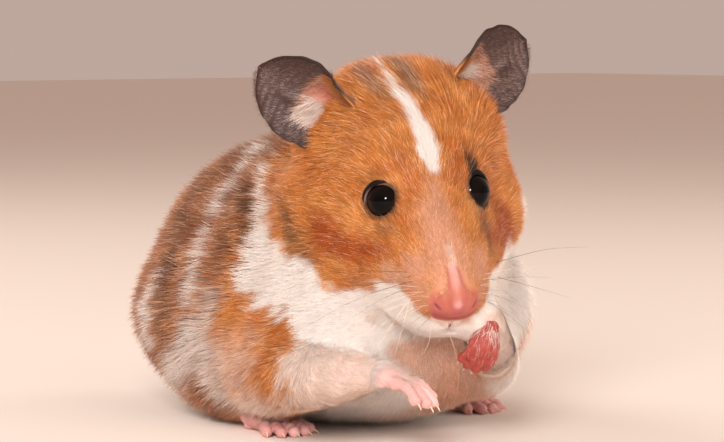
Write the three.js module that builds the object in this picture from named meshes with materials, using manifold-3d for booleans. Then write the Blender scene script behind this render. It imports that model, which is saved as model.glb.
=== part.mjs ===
// A Syrian hamster at life size, sitting hunched on its haunches with its forepaws held before its chest.
// Millimetres, +Z up, floor at z = 0. The trunk faces -Y, so the animal's left is +X; its head turns to its right.
import * as THREE from "three";
import { mergeVertices } from "three/addons/utils/BufferGeometryUtils.js";
import Module from "manifold-3d";

const wasm = await Module();
wasm.setup();

// ---- driving dimensions ------------------------------------------------------------------------------------

const GAP = 0.3; // clearance between neighbouring pieces
const BLEND = 2.4; // how softly the masses of flesh run into each other

const HEAD = { eyes: [-13, -38, 45], yaw: -25.3, pitch: 31.8, roll: -4.5 }; // midpoint of the eyes, turn in degrees
const EYE = { radius: 3.6, side: 7.8, back: 0.75, up: -0.4 };
const NOSE = { back: -19.6, down: 9.3, radii: [3.1, 2.4, 2.6] };
const EAR = { height: 16.8, halfWidth: 7.8, widest: 0.5, thick: 1.0, rim: 0.6, rootArc: 80, tipArc: 32, cup: 2.2 };
const CLAW = { length: 1.8, radius: 0.42 };

// Masses of flesh: centre and half sizes. The trunk's are in the row frame, the head's in the head's own frame:
// x to the animal's left, y towards its nape, z up, from the midpoint of the eyes.
const TRUNK_LUMPS = [
  { at: [0, 8.5, 29], size: [27, 39, 26.5] }, // barrel
  { at: [0, 22.5, 19], size: [29, 29, 19.5] }, // rump
  { at: [-2, -3, 37], size: [18, 27, 19] }, // back
  { at: [-4, -17, 33], size: [21, 16, 22] }, // shoulders
  { at: [-7, -23, 21], size: [17, 12.5, 15] }, // chest
  { at: [-7, -22, 44], size: [16, 15, 12] }, // nape
  { at: [0, -4, 12], size: [22, 26, 12] }, // belly
];
const THIGH = { at: [21, 8, 14], size: [10, 21, 14] };
const UPPER_ARM = { at: [20.5, -17, 22], size: [8, 10, 13] };
const HEAD_LUMPS = [
  { at: [0, 19.9, 0.1], size: [19.8, 16.8, 14.2] }, // skull
  { at: [0, 4.5, -4.8], size: [7.8, 12.6, 9.9] }, // face
  { at: [0, -4.5, -7.7], size: [8.7, 8.8, 7.3] }, // muzzle
  { at: [0, -13.8, -8.3], size: [3.7, 6.3, 2.9] }, // snout
  { at: [0, -6.2, -13.6], size: [7.5, 8.4, 3] }, // lower jaw
  { at: [0, 10.3, -12.8], size: [13.2, 14.1, 8.1] }, // throat
];
const CHEEK = { at: [12.7, 13.1, -12.5], size: [10.1, 11.8, 8.6] };
const WHISKER_PAD = { at: [3.1, -11.5, -14.8], size: [3.6, 4.2, 4.8] };
const BROW = { at: [4.4, 5.5, 2.1], size: [5.1, 3.7, 4.1] };
const JOWL = { at: [8.4, 1, -12.6], size: [5, 8, 6.4] };

// The knives that part the flesh: the neck's reach is in the head's frame, the haunch's in the row frame.
const NECK = { at: [0, 17, -8], size: [27, 27, 23] };
const HAUNCH = { at: [24, 8, 14], size: [12, 24, 16.5] };

// Ears: root, the way the shell rises and the way its hollow faces, in the head's frame.
const EARS = [
  { name: "ear_right", root: [-14.9, 16.9, 7.6], rise: [-0.77, 0.45, 0.45], face: [-0.38, -0.89, 0.24] },
  { name: "ear_left", root: [12.6, 18.9, 10.4], rise: [0.85, 0.45, 0.26], face: [0.36, -0.87, 0.34] },
];

// Forelimbs from shoulder to wrist, the tail from root to tip: places and radii along them.
const ARMS = {
  right: [
    { at: [-20, -16, 20], r: 6.5 },
    { at: [-28, -16, 13.5], r: 7 },
    { at: [-29, -27, 12.8], r: 5.6 },
    { at: [-25.4, -35.8, 13.9], r: 3.1 },
  ],
  left: [
    { at: [14, -19, 21], r: 6.5 },
    { at: [7.5, -30.5, 13], r: 6.2 },
    { at: [0, -40.5, 16], r: 4.6 },
    { at: [-6.2, -46.5, 21.4], r: 2.9 },
  ],
};
const TAIL = [
  { at: [0, 43, 13], r: 3.4 },
  { at: [0, 53, 11], r: 2.2 },
  { at: [0.5, 58, 9.6], r: 1.3 },
];

// Paws: wrist or heel, the way the digits reach, the way the back of the paw faces, and how far the digits bend.
const HANDS = {
  right: { wrist: [-24.9, -36.8, 13.9], reach: [0.46, -0.84, -0.3], back: [0.02, 0, 1], bend: 14 },
  left: { wrist: [-7, -47.6, 22], reach: [-0.52, -0.2, -0.83], back: [-0.3, -0.9, 0.2], bend: 34 },
};
const FEET = {
  right: { wrist: [-22, 3, 2], reach: [-0.16, -0.98, 0], back: [0, 0, 1], bend: 2 },
  left: { wrist: [22, 3, 2], reach: [0.16, -0.98, 0], back: [0, 0, 1], bend: 2 },
};
const HAND = { palm: 5, half: [3.0, 1.75], pitch: 1.5, low: 0.2 };
const FOOT = { palm: 11.5, half: [3.5, 2.2], pitch: 1.35, low: 0.8 };
const FINGER = { length: 4.9, radius: 0.95, tip: 0.78, spread: [-16, -5, 6, 17], share: [0.84, 1, 0.98, 0.8] };
const TOE = { length: 6.2, radius: 1.15, tip: 0.95, spread: [-26, -11, 0, 11, 24], share: [0.72, 0.96, 1, 0.95, 0.66] };

// ---- frames and small helpers ------------------------------------------------------------------------------

const vec = (a) => new THREE.Vector3(...a);
const radians = THREE.MathUtils.degToRad;
const mix = THREE.MathUtils.lerp;
const mirrored = (lump) => [1, -1].map((side) => ({ ...lump, at: [side * lump.at[0], lump.at[1], lump.at[2]] }));

const rowFrame = new THREE.Matrix4();
const headFrame = new THREE.Matrix4().compose(
  vec(HEAD.eyes),
  new THREE.Quaternion().setFromEuler(
    new THREE.Euler(radians(HEAD.pitch), radians(HEAD.roll), radians(HEAD.yaw), "ZYX"),
  ),
  new THREE.Vector3(1, 1, 1),
);
const inHead = (a) => vec(a).applyMatrix4(headFrame);
const headDirection = (a) => vec(a).transformDirection(headFrame);

// A closed three.js geometry as a manifold solid, faces outwards whichever way it was wound.
function solid(geometry) {
  const bare = geometry.clone();
  bare.deleteAttribute("normal");
  bare.deleteAttribute("uv");
  const merged = mergeVertices(bare, 1e-4);
  const manifold = (triangles) =>
    new wasm.Manifold(
      new wasm.Mesh({
        numProp: 3,
        vertProperties: new Float32Array(merged.attributes.position.array),
        triVerts: new Uint32Array(triangles),
      }),
    );
  const made = manifold(merged.index.array);
  return made.volume() > 0 ? made : manifold([...merged.index.array].reverse());
}

// Triangles between neighbouring rings of points, every ring closed on itself.
function ringWalls(rings) {
  const around = rings[0].length;
  const at = (row, column) => row * around + (column % around);
  const index = [];
  for (let row = 0; row + 1 < rings.length; row++)
    for (let column = 0; column < around; column++) {
      index.push(at(row, column), at(row, column + 1), at(row + 1, column));
      index.push(at(row + 1, column), at(row, column + 1), at(row + 1, column + 1));
    }
  return index;
}

// Rings closed by a point at each end.
function poledSolid(rings, firstPole, lastPole) {
  const around = rings[0].length;
  const [first, last] = [rings.length * around, rings.length * around + 1];
  const lastRing = (rings.length - 1) * around;
  const index = ringWalls(rings);
  for (let column = 0; column < around; column++) {
    const next = (column + 1) % around;
    index.push(first, next, column);
    index.push(last, lastRing + column, lastRing + next);
  }
  return solid(new THREE.BufferGeometry().setFromPoints([...rings.flat(), firstPole, lastPole]).setIndex(index));
}

// A fan of directions square to a line of travel: sideways and upwards, like the hands of a clock.
function clock(along, around) {
  const side = new THREE.Vector3(0, 0, 1).cross(along).normalize();
  const up = along.clone().cross(side);
  return Array.from({ length: around }, (_, k) => {
    const angle = (2 * Math.PI * k) / around;
    return side.clone().multiplyScalar(Math.cos(angle)).addScaledVector(up, Math.sin(angle));
  });
}

// A round limb: a radius carried along a smooth path, rounded off at both ends.
function limb(stations, around, steps) {
  const path = new THREE.CatmullRomCurve3(stations.map((s) => vec(s.at)));
  const girth = new THREE.CatmullRomCurve3(stations.map((s) => new THREE.Vector3(s.r, 0, 0)));
  const ring = (t, lean) => {
    const along = path.getTangent(t);
    const radius = girth.getPoint(t).x;
    return clock(along, around).map((across) =>
      path.getPoint(t).addScaledVector(across, radius * Math.cos(lean)).addScaledVector(along, radius * Math.sin(lean)));
  };
  const rings = [ring(0, -Math.PI / 4)];
  for (let k = 0; k <= steps; k++) rings.push(ring(k / steps, 0));
  rings.push(ring(1, Math.PI / 4));
  const pole = (t, way) => path.getPoint(t).addScaledVector(path.getTangent(t), way * girth.getPoint(t).x);
  return poledSolid(rings, pole(0, -1), pole(1, 1));
}

const ellipsoid = ({ at, size }, frame, grow, around, rows) =>
  solid(new THREE.SphereGeometry(1, around, rows)
    .scale(...size.map((r) => r + grow))
    .translate(...at)
    .applyMatrix4(frame));

// ---- the flesh as smooth fields ----------------------------------------------------------------------------

const masses = (lumps, frame) =>
  lumps.map((lump) => ({
    size: vec(lump.size),
    inverse: frame.clone().multiply(new THREE.Matrix4().setPosition(vec(lump.at))).invert(),
  }));
const trunkMasses = masses([...TRUNK_LUMPS, ...mirrored(THIGH), ...mirrored(UPPER_ARM)], rowFrame);
const headPairs = [CHEEK, WHISKER_PAD, BROW, JOWL].flatMap(mirrored);
const headMasses = masses([...HEAD_LUMPS, ...headPairs], headFrame);

// Distance to the surface of blended masses, negative inside: each mass's own distance, joined by soft minimum.
function fleshDistance(parts, point) {
  let sum = 0;
  for (const { size, inverse } of parts) {
    const near = point.clone().applyMatrix4(inverse).divide(size);
    const steep = near.clone().divide(size);
    const distance = (near.length() * (near.length() - 1)) / Math.max(steep.length(), 1e-9);
    sum += Math.exp(-distance / BLEND);
  }
  return -BLEND * Math.log(sum);
}

const FARTHEST = 80; // longest ray from an axis to the surface
const HALVINGS = 14; // refinements of each ray's end
// Masses as one solid: rays from an axis, square to it along its length and fanned out beyond its two ends.
function fleshSolid({ parts, axis, rows, fan, around }, grow) {
  const path = new THREE.CatmullRomCurve3(axis);
  const reach = (origin, direction) => {
    const inside = (far) => fleshDistance(parts, origin.clone().addScaledVector(direction, far)) < grow;
    let near = 0;
    while (near < FARTHEST && inside(near + 1)) near += 1;
    let far = near + 1;
    for (let k = 0; k < HALVINGS; k++) {
      const middle = (near + far) / 2;
      if (inside(middle)) near = middle;
      else far = middle;
    }
    return origin.clone().addScaledVector(direction, near);
  };
  const ring = (t, lean) => {
    const along = path.getTangent(t);
    return clock(along, around).map((across) =>
      reach(path.getPoint(t), across.multiplyScalar(Math.cos(lean)).addScaledVector(along, Math.sin(lean))));
  };
  const rings = [];
  for (let k = 1; k < fan; k++) rings.push(ring(0, (Math.PI / 2) * (k / fan - 1)));
  for (let k = 0; k <= rows; k++) rings.push(ring(k / rows, 0));
  for (let k = 1; k < fan; k++) rings.push(ring(1, (Math.PI / 2) * (k / fan)));
  return poledSolid(
    rings,
    reach(path.getPoint(0), path.getTangent(0).negate()),
    reach(path.getPoint(1), path.getTangent(1)),
  );
}

const trunkShape = {
  parts: trunkMasses,
  axis: [[0, 26, 21], [0, 8, 26], [-4, -20, 30]].map(vec),
  rows: 8,
  fan: 6,
  around: 28,
};
const headShape = {
  parts: headMasses,
  axis: [[0, 19, -2], [0, 6, -6], [0, -5, -8.4], [0, -14, -9.6]].map(inHead),
  rows: 9,
  fan: 5,
  around: 26,
};

// ---- ears --------------------------------------------------------------------------------------------------

const EAR_ROWS = 8;
const EAR_COLUMNS = 9;
const EAR_SUNK = 0.1; // share of the height that lies within the head
// A cupped shell: an arc across, its width swelling from the root and rounding off to the tip, the arc opening out.
function earShell({ root, rise, face }) {
  const up = headDirection(rise);
  const front = headDirection(face).projectOnPlane(up).normalize();
  const side = up.clone().cross(front);
  const sheet = (outer) =>
    Array.from({ length: EAR_ROWS + 1 }, (_, row) => {
      const t = Math.sin((Math.PI / 2) * (row / EAR_ROWS));
      const beyond = Math.max(0, (t - EAR.widest) / (1 - EAR.widest));
      const swell = 0.72 + 0.28 * Math.sin((Math.PI / 2) * Math.min(1, t / EAR.widest));
      const width = Math.max(0.8, EAR.halfWidth * swell * Math.sqrt(Math.max(0, 1 - beyond ** 2.2)));
      const halfArc = radians(mix(EAR.rootArc, EAR.tipArc, t ** 0.7));
      const radius = width / Math.sin(halfArc);
      return Array.from({ length: EAR_COLUMNS + 1 }, (_, column) => {
        const s = (2 * column) / EAR_COLUMNS - 1;
        const thickness = outer * mix(EAR.thick, EAR.rim, Math.max(s ** 4, t ** 6));
        const cup = 1.5 + EAR.cup * t * (1 - t);
        return inHead(root)
          .addScaledVector(up, EAR.height * (t - EAR_SUNK) - 0.8 * s * s)
          .addScaledVector(side, (radius + thickness) * Math.sin(s * halfArc))
          .addScaledVector(front, radius - (radius + thickness) * Math.cos(s * halfArc) - cup);
      });
    });
  const [inner, outer] = [sheet(0), sheet(1)];
  // Each ring runs across the hollow and back again behind it; a strip across the ring closes the two ends.
  const rings = inner.map((row, k) => [...row, ...outer[k].reverse()]);
  const around = rings[0].length;
  const last = EAR_ROWS * around;
  const index = ringWalls(rings);
  for (let column = 0; column < EAR_COLUMNS; column++) {
    const [a, b, c, d] = [column, column + 1, around - 1 - column, around - 2 - column];
    index.push(b, a, c, b, c, d);
    index.push(last + a, last + b, last + c, last + c, last + b, last + d);
  }
  return solid(new THREE.BufferGeometry().setFromPoints(rings.flat()).setIndex(index));
}

// ---- paws --------------------------------------------------------------------------------------------------

const KNUCKLE_RISE = 0.4; // how far a digit arches over its middle
// A paw: a flattened palm with its digits joined on, and the claws apart.
function paw({ wrist, reach, back, bend }, sole, digit) {
  const along = vec(reach).normalize();
  const dorsal = vec(back).projectOnPlane(along).normalize();
  const side = along.clone().cross(dorsal);
  const frame = new THREE.Matrix4().makeBasis(side, along, dorsal).setPosition(vec(wrist));
  const half = sole.palm / 2;
  let flesh = ellipsoid({ at: [0, half, 0], size: [sole.half[0], half + 1.6, sole.half[1]] }, frame, 0, 10, 7);
  const claws = digit.spread.map((degrees, k) => {
    const lean = radians(degrees);
    const length = digit.length * digit.share[k];
    const drop = Math.tan(radians(bend));
    const across = sole.pitch * (k - (digit.spread.length - 1) / 2);
    const bent = (share) =>
      new THREE.Vector3(
        across + length * share * Math.sin(lean),
        sole.palm - 0.6 - 0.5 * Math.abs(lean) + length * share * Math.cos(lean),
        KNUCKLE_RISE * Math.sin(Math.PI * share) - sole.low - drop * length * share * share,
      ).applyMatrix4(frame);
    const stations = [0, 0.55, 1].map((share) => ({
      at: bent(share).toArray(),
      r: mix(digit.radius, digit.tip, share),
    }));
    flesh = flesh.add(limb(stations, 6, 2));
    const point = bent(1).sub(bent(0.8)).normalize();
    const base = bent(1).addScaledVector(point, digit.tip + 0.1);
    return solid(
      new THREE.ConeGeometry(CLAW.radius, CLAW.length, 6)
        .translate(0, CLAW.length / 2, 0)
        .applyQuaternion(new THREE.Quaternion().setFromUnitVectors(new THREE.Vector3(0, 1, 0), point))
        .translate(base.x, base.y, base.z),
    );
  });
  return { flesh, claws };
}

// ---- materials ---------------------------------------------------------------------------------------------

const finish = (color, roughness) => new THREE.MeshStandardMaterial({ color, roughness, metalness: 0 });
const coat = finish(0xc98a5a, 0.85);
const pinkSkin = finish(0xe0a08f, 0.6);
const earSkin = finish(0x5a4640, 0.7);
const eyeGloss = finish(0x0b0808, 0.05);
const clawHorn = finish(0xe6d3b8, 0.4);

// ---- assembly ----------------------------------------------------------------------------------------------

const hamster = new THREE.Group();

// The main body of a cut solid, as a named mesh.
function place(name, made, material) {
  const body = made.decompose().sort((a, b) => b.volume() - a.volume())[0];
  const { vertProperties, numProp, numVert, triVerts } = body.getMesh();
  const points = Array.from({ length: numVert }, (_, k) => new THREE.Vector3().fromArray(vertProperties, k * numProp));
  const mesh = new THREE.Mesh(new THREE.BufferGeometry().setFromPoints(points).setIndex([...triVerts]), material);
  mesh.name = name;
  hamster.add(mesh);
}

const ROOM = 400; // a box larger than the animal
const aboveFloor = solid(new THREE.BoxGeometry(ROOM, ROOM, ROOM).translate(0, 0, ROOM / 2));

const wholeTrunk = fleshSolid(trunkShape, 0);
const grownTrunk = fleshSolid(trunkShape, GAP);
const grownHead = fleshSolid(headShape, GAP * 1.4);
const noseSeat = (grow) =>
  ellipsoid({ at: [0, NOSE.back, -NOSE.down], size: NOSE.radii }, headFrame, grow, 12, 8);
const eyeBall = (sign, grow) =>
  ellipsoid({ at: [sign * EYE.side, EYE.back, EYE.up], size: Array(3).fill(EYE.radius) }, headFrame, grow, 14, 10);
const neckKnife = (grow) => ellipsoid(NECK, headFrame, grow, 20, 12);
const haunchKnife = (sign, grow) =>
  ellipsoid({ ...HAUNCH, at: [sign * HAUNCH.at[0], HAUNCH.at[1], HAUNCH.at[2]] }, rowFrame, grow, 16, 10);

let head = fleshSolid(headShape, 0).subtract(noseSeat(GAP));
const neck = wholeTrunk.intersect(neckKnife(0)).subtract(grownHead);
let trunk = wholeTrunk.subtract(neckKnife(GAP)).subtract(grownHead);

for (const [name, sign] of [["right", -1], ["left", 1]]) {
  head = head.subtract(eyeBall(sign, GAP));
  place(`eye_${name}`, eyeBall(sign, 0), eyeGloss);

  place(`hindleg_${name}`, trunk.intersect(haunchKnife(sign, 0)).intersect(aboveFloor), coat);
  trunk = trunk.subtract(haunchKnife(sign, GAP));

  const arm = (grow) => limb(ARMS[name].map((s) => ({ at: s.at, r: s.r + grow })), 12, 7);
  place(`foreleg_${name}`, arm(0).subtract(grownTrunk).subtract(grownHead), coat);

  const hand = paw(HANDS[name], HAND, FINGER);
  place(`forefoot_${name}`, hand.flesh.subtract(arm(GAP)).subtract(grownHead), pinkSkin);
  hand.claws.forEach((claw, k) => place(`claw_fore_${name}_${k + 1}`, claw, clawHorn));

  const foot = paw(FEET[name], FOOT, TOE);
  place(`hindfoot_${name}`, foot.flesh.subtract(grownTrunk).intersect(aboveFloor), pinkSkin);
  foot.claws.forEach((claw, k) => place(`claw_hind_${name}_${k + 1}`, claw.intersect(aboveFloor), clawHorn));
}
place("head", head, coat);
place("neck", neck, coat);
place("trunk", trunk.intersect(aboveFloor), coat);
place("nose", noseSeat(0), pinkSkin);
place("tail", limb(TAIL, 8, 4).subtract(grownTrunk), pinkSkin);
for (const ear of EARS) place(ear.name, earShell(ear).subtract(grownHead).subtract(grownTrunk), earSkin);

// The middle of the whole animal's footprint box comes to the origin.
const middle = new THREE.Box3().setFromObject(hamster).getCenter(new THREE.Vector3());
hamster.position.set(-middle.x, -middle.y, 0);

export default hamster;
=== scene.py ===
import bpy
import numpy as np
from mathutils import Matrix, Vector


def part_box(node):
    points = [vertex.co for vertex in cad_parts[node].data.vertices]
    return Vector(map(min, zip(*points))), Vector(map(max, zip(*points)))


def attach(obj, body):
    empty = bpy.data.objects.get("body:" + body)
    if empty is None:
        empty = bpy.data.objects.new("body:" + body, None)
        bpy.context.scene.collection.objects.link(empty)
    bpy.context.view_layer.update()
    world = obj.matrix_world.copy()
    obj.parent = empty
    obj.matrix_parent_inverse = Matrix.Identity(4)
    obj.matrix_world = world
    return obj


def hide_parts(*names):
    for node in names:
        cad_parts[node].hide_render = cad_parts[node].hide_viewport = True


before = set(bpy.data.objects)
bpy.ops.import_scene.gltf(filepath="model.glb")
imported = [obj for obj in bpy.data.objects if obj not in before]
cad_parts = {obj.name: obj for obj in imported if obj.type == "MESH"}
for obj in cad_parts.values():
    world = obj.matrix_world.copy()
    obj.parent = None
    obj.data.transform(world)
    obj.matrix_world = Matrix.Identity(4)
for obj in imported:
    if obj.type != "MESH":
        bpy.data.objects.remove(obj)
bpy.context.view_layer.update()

# A Syrian hamster as a life-size museum model: one skin, a coat of solid tufts over it, eyes, claws and
# whiskers. Shapes are worked out in millimetres in the body's frame, where the trunk faces -y and the floor
# is z = 0, and are set into the row frame, in metres, as each mesh is made.

mm = 0.001
floorGap = 0.02  # how far above the floor, in millimetres, the lowest points stop
rng = np.random.default_rng(11)


def unit(vectors):  # each vector over its own length
    return vectors / np.maximum(np.linalg.norm(vectors, axis=-1, keepdims=True), 1e-9)


def ramp(x, low, high):  # 0 below low, 1 above high, and 3t^2 - 2t^3 between them
    t = np.clip((x - low) / (high - low), 0, 1)
    return t * t * (3 - 2 * t)


def mix(a, b, share):  # straight blend from a to b
    return a + (b - a) * share


def tone(red, green, blue):  # a colour given as 0 to 255 on screen, made linear: ((c + 0.055) / 1.055)^2.4
    c = np.array([red, green, blue]) / 255
    return (*np.where(c < 0.04045, c / 12.92, ((c + 0.055) / 1.055) ** 2.4), 1.0)


def turn(yaw, pitch, roll):  # turn about x by pitch, then about y by roll, then about z by yaw
    a, b, c = np.radians([yaw, roll, pitch])
    aboutZ = np.array([[np.cos(a), -np.sin(a), 0], [np.sin(a), np.cos(a), 0], [0, 0, 1]])
    aboutY = np.array([[np.cos(b), 0, np.sin(b)], [0, 1, 0], [-np.sin(b), 0, np.cos(b)]])
    aboutX = np.array([[1, 0, 0], [0, np.cos(c), -np.sin(c)], [0, np.sin(c), np.cos(c)]])
    return aboutZ @ aboutY @ aboutX


def smoothPath(stations, count):
    # Catmull-Rom curve through the stations, which may carry a radius as well: between b and c it is half
    # of 2b + (c - a)t + (2a - 5b + 4c - d)t^2 + (3b - a - 3c + d)t^3.
    s = np.array(stations, float)
    s = np.vstack([2 * s[0] - s[1], s, 2 * s[-1] - s[-2]])
    at = np.linspace(0, len(stations) - 1 - 1e-9, count)
    k, t = at.astype(int), (at % 1)[:, None]
    a, b, c, d = s[k], s[k + 1], s[k + 2], s[k + 3]
    return 0.5 * (2 * b + (c - a) * t + (2 * a - 5 * b + 4 * c - d) * t**2 + (3 * b - a - 3 * c + d) * t**3)


def ripple(points, wavelength, seed, waves=9):
    # Smooth noise of about -1 to 1: sqrt(2 / waves) times a sum of sine waves in random directions. Also
    # gives its slope.
    draw = np.random.default_rng(seed)
    ways = unit(draw.normal(size=(waves, 3))) * (2 * np.pi / wavelength) * draw.uniform(0.6, 1.6, (waves, 1))
    phase = points @ ways.T + draw.uniform(0, 2 * np.pi, waves)
    scale = np.sqrt(2 / waves)
    return np.sin(phase).sum(1) * scale, np.cos(phase) @ ways * scale


body = {
    "blend": 2.4,  # how softly the masses of flesh run into each other
    "eyes": (-13, -38, 45),  # midpoint of the eyes, the origin of the head's own frame
    "yaw": -25.3,
    "pitch": 31.8,
    "roll": -4.5,
    "eyeball": (7.8, 0.75, -0.4),  # the left one, in the head's frame
    "eyeRadius": 3.6,
    "nose": (0, -19.6, -9.3),
}
# Each mass is an ellipsoid: its centre and its half sizes.
trunkMasses = [
    ((0, 8.5, 29), (27, 39, 26.5)),  # barrel
    ((0, 22.5, 19), (29, 29, 19.5)),  # rump
    ((-2, -3, 37), (18, 27, 19)),  # back
    ((-4, -17, 33), (21, 16, 22)),  # shoulders
    ((-7, -23, 21), (17, 12.5, 15)),  # chest
    ((-7, -22, 44), (16, 15, 12)),  # nape
    ((0, -4, 12), (22, 26, 12)),  # belly
    ((-26.5, -8.5, 13), (7, 9, 9)),  # fold of the right elbow
]
trunkPairs = [((21, 8, 14), (10, 21, 14)), ((20.5, -17, 22), (8, 10, 13))]  # thighs and upper arms
headMasses = [
    ((0, 19.9, 0.1), (19.8, 16.8, 14.2)),  # skull
    ((0, 4.5, -4.8), (7.8, 12.6, 9.9)),  # face
    ((0, -4.5, -7.7), (8.7, 8.8, 7.3)),  # muzzle
    ((0, -13.8, -8.3), (3.7, 6.3, 2.9)),  # snout
    ((0, -6.2, -13.6), (7.5, 8.4, 3)),  # lower jaw
    ((0, 10.3, -12.8), (13.2, 14.1, 8.1)),  # throat
]
headPairs = [
    ((12.7, 13.1, -12.5), (10.1, 11.8, 8.6)),  # cheeks
    ((3.1, -11.5, -14.8), (3.6, 4.2, 4.8)),  # whisker pads
    ((4.4, 5.5, 2.1), (5.1, 3.7, 4.1)),  # brows
    ((8.4, 1, -12.6), (5, 8, 6.4)),  # jowls
]
# Forelimbs from shoulder to wrist: x, y, z and radius.
arms = {
    "right": [(-20, -16, 20, 6.5), (-28, -16, 13.5, 7), (-29, -27, 12.8, 5.6), (-25.4, -35.8, 13.9, 3.1)],
    "left": [(14, -19, 21, 6.5), (7.5, -30.5, 13, 6.2), (0, -40.5, 16, 4.6), (-6.2, -46.5, 21.4, 2.9)],
}
armPaths = {side: smoothPath(stations, 9) for side, stations in arms.items()}
headTurn = turn(body["yaw"], body["pitch"], body["roll"])
headOrigin = np.array(body["eyes"], float)


def toHead(points):  # from the body's frame into the head's: x to the animal's left, y to its nape, z up
    return (points - headOrigin) @ headTurn


def fromHead(points):  # the way back: origin + turned point
    return headOrigin + np.asarray(points, float) @ headTurn.T


def headWay(ways):  # a direction in the head's frame, turned into the body's
    return np.asarray(ways, float) @ headTurn.T


def pairOf(masses):  # each mass and its mirror image
    return [((side * c[0], c[1], c[2]), size) for c, size in masses for side in (1, -1)]


def lumpDistance(points, centre, size):
    # About the distance to an ellipsoid: k(k - 1) / |p / size^2|, k = |p / size|.
    near = (points - np.array(centre)) / np.array(size)
    k = np.linalg.norm(near, axis=1)
    return k * (k - 1) / np.maximum(np.linalg.norm(near / np.array(size), axis=1), 1e-9)


def nearestOn(points, path):
    # A chain of round cones: the distance to the nearest point of each length, less the radius there, and
    # the share of the way along the chain at which the least of them lies.
    best, where = np.full(len(points), 1e9), np.zeros(len(points))
    for k, (a, b) in enumerate(zip(path[:-1], path[1:])):
        along = b[:3] - a[:3]
        t = np.clip((points - a[:3]) @ along / (along @ along), 0, 1)
        away = np.linalg.norm(points - a[:3] - t[:, None] * along, axis=1) - mix(a[3], b[3], t)
        where = np.where(away < best, (k + t) / (len(path) - 1), where)
        best = np.minimum(best, away)
    return best, where


def limbDistance(points, path):  # distance to a chain of round cones
    return nearestOn(points, path)[0]


def softMin(distances, blend):  # soft minimum: -blend ln(sum of exp(-d / blend))
    total = sum(np.exp(-d / blend) for d in distances)
    return -blend * np.log(np.maximum(total, 1e-12))


allTrunk = trunkMasses + pairOf(trunkPairs)
allHead = headMasses + pairOf(headPairs)


def fleshDistance(points):  # soft minimum of the distances to all masses and arms; 0 is the coat's outside
    local = toHead(points)
    distances = [lumpDistance(points, *mass) for mass in allTrunk]
    distances += [lumpDistance(local, *mass) for mass in allHead]
    distances += [limbDistance(points, path) for path in armPaths.values()]
    return softMin(distances, body["blend"])


# Where the row frame has its origin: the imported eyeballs' middle tells how far the body's frame was moved.
eyeMiddles = [np.array(sum(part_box(f"eye_{side}"), Vector())) / 2 for side in ("right", "left")]
ownEyes = fromHead([(side * body["eyeball"][0], *body["eyeball"][1:]) for side in (-1, 1)])
shift = np.mean(eyeMiddles, axis=0) - ownEyes.mean(0) * mm
shift[2] = 0


def toRow(points):  # body frame in millimetres to row frame in metres
    return np.asarray(points) * mm + shift


coat = {
    "slopeGap": 0.4,  # over which the flesh's slope is taken
    "fromNose": [0, 3.5, 9, 16, 25, 36, 50, 62],  # distance from the nose, against which these are given:
    "depth": [0.02, 0.12, 0.45, 0.75, 1.1, 1.7, 2.5, 2.9],
    "length": [0.5, 0.9, 1.5, 2.1, 2.8, 4.2, 6.0, 6.8],
    "width": [0.09, 0.10, 0.12, 0.13, 0.16, 0.20, 0.24, 0.25],
    "nearEye": ([3.9, 5.5, 9], [0.3, 0.7, 1]),  # distances, and the share of the coat's depth there
    "nearWrist": ([2, 7, 16, 24], [0.12, 0.25, 0.6, 1]),
}
nosePoint = fromHead(body["nose"])


def farFrom(points, middle):  # straight distance
    return np.linalg.norm(points - middle, axis=1)


def thinning(points):
    # The coat thins round the eyes and towards the wrists: the product of all their shares.
    share = np.ones(len(points))
    for eye in ownEyes:
        share *= np.interp(farFrom(points, eye), *coat["nearEye"])
    for path in armPaths.values():
        share *= np.interp(farFrom(points, path[-1, :3]), *coat["nearWrist"])
    return share


def coatMeasure(points, name):
    # Depth, length or width, straight between the values given against the nose's distance.
    return np.interp(farFrom(points, nosePoint), coat["fromNose"], coat[name])


def coatDepth(points):  # the measure for depth times the thinning
    return coatMeasure(points, "depth") * thinning(points)


face = {
    "reach": (20, 16),  # how far from the nose the relief and the small grooves are worked out
    "noseBlend": 0.7,
    "noseMasses": [((0, -19.4, -8.7), (1.3, 1.9, 2.1)), ((2.2, -18.8, -9.5), (1.3, 1.3, 1.25)),
                   ((-2.2, -18.8, -9.5), (1.3, 1.3, 1.25)), ((-0.1, -17.0, -6.4), (0.75, 3.6, 1.6))],
    "nostril": [(3.65, -19.5, -9.3), (3.2, -20.1, -9.7)],
    "under": [(-2.4, -18.4, -11.9), (0, -19.2, -12.2), (2.4, -18.4, -11.9)],  # bare skin below the pad
    "ridge": [(0.3, -13.3, -2.5), (0, -16.8, -4.3), (-0.2, -19.5, -5.6), (-0.2, -21.2, -8.0)],
    "philtrum": [(0, -20.0, -12.4), (0, -18.9, -14.0), (-0.2, -17.9, -16.2)],
    "mouth": [(0, -17.9, -16.4), (0.6, -17.8, -16.6)],
    # how deep and how wide each of them is pressed in
    "pressed": {"philtrum": (0.5, 0.38), "nostril": (0.9, 0.34), "mouth": (0.7, 0.5)},
    "relief": [  # grooves pressed into skin and coat alike: line, depth and width
        # beside the bridge, from the eye to the muzzle, under the jaw, and along the pad
        ([(1.5, -13.5, -3.2), (1.5, -16.5, -4.6), (1.7, -18.8, -6.0), (3.0, -19.0, -7.6)], 0.5, 0.6),
        ([(7.4, -5.0, -3.4), (7.0, -9.0, -6.2), (6.0, -12.6, -9.0)], 0.35, 1.3),
        ([(10.4, -9.6, -18.0), (7.5, -12.6, -20.4), (3.5, -14.2, -21.6), (0, -14.6, -21.8)], 1.3, 1.5),
        ([(9.6, -9.6, -10.6), (8.8, -12.4, -11.2)], 0.3, 1.2),
    ],
}


def lineDistance(points, line):  # distance to the nearest point of a chain of straight lengths
    line = np.array(line, float)
    padded = np.hstack([line, np.zeros((len(line), 1))])
    return limbDistance(points, padded)


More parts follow.
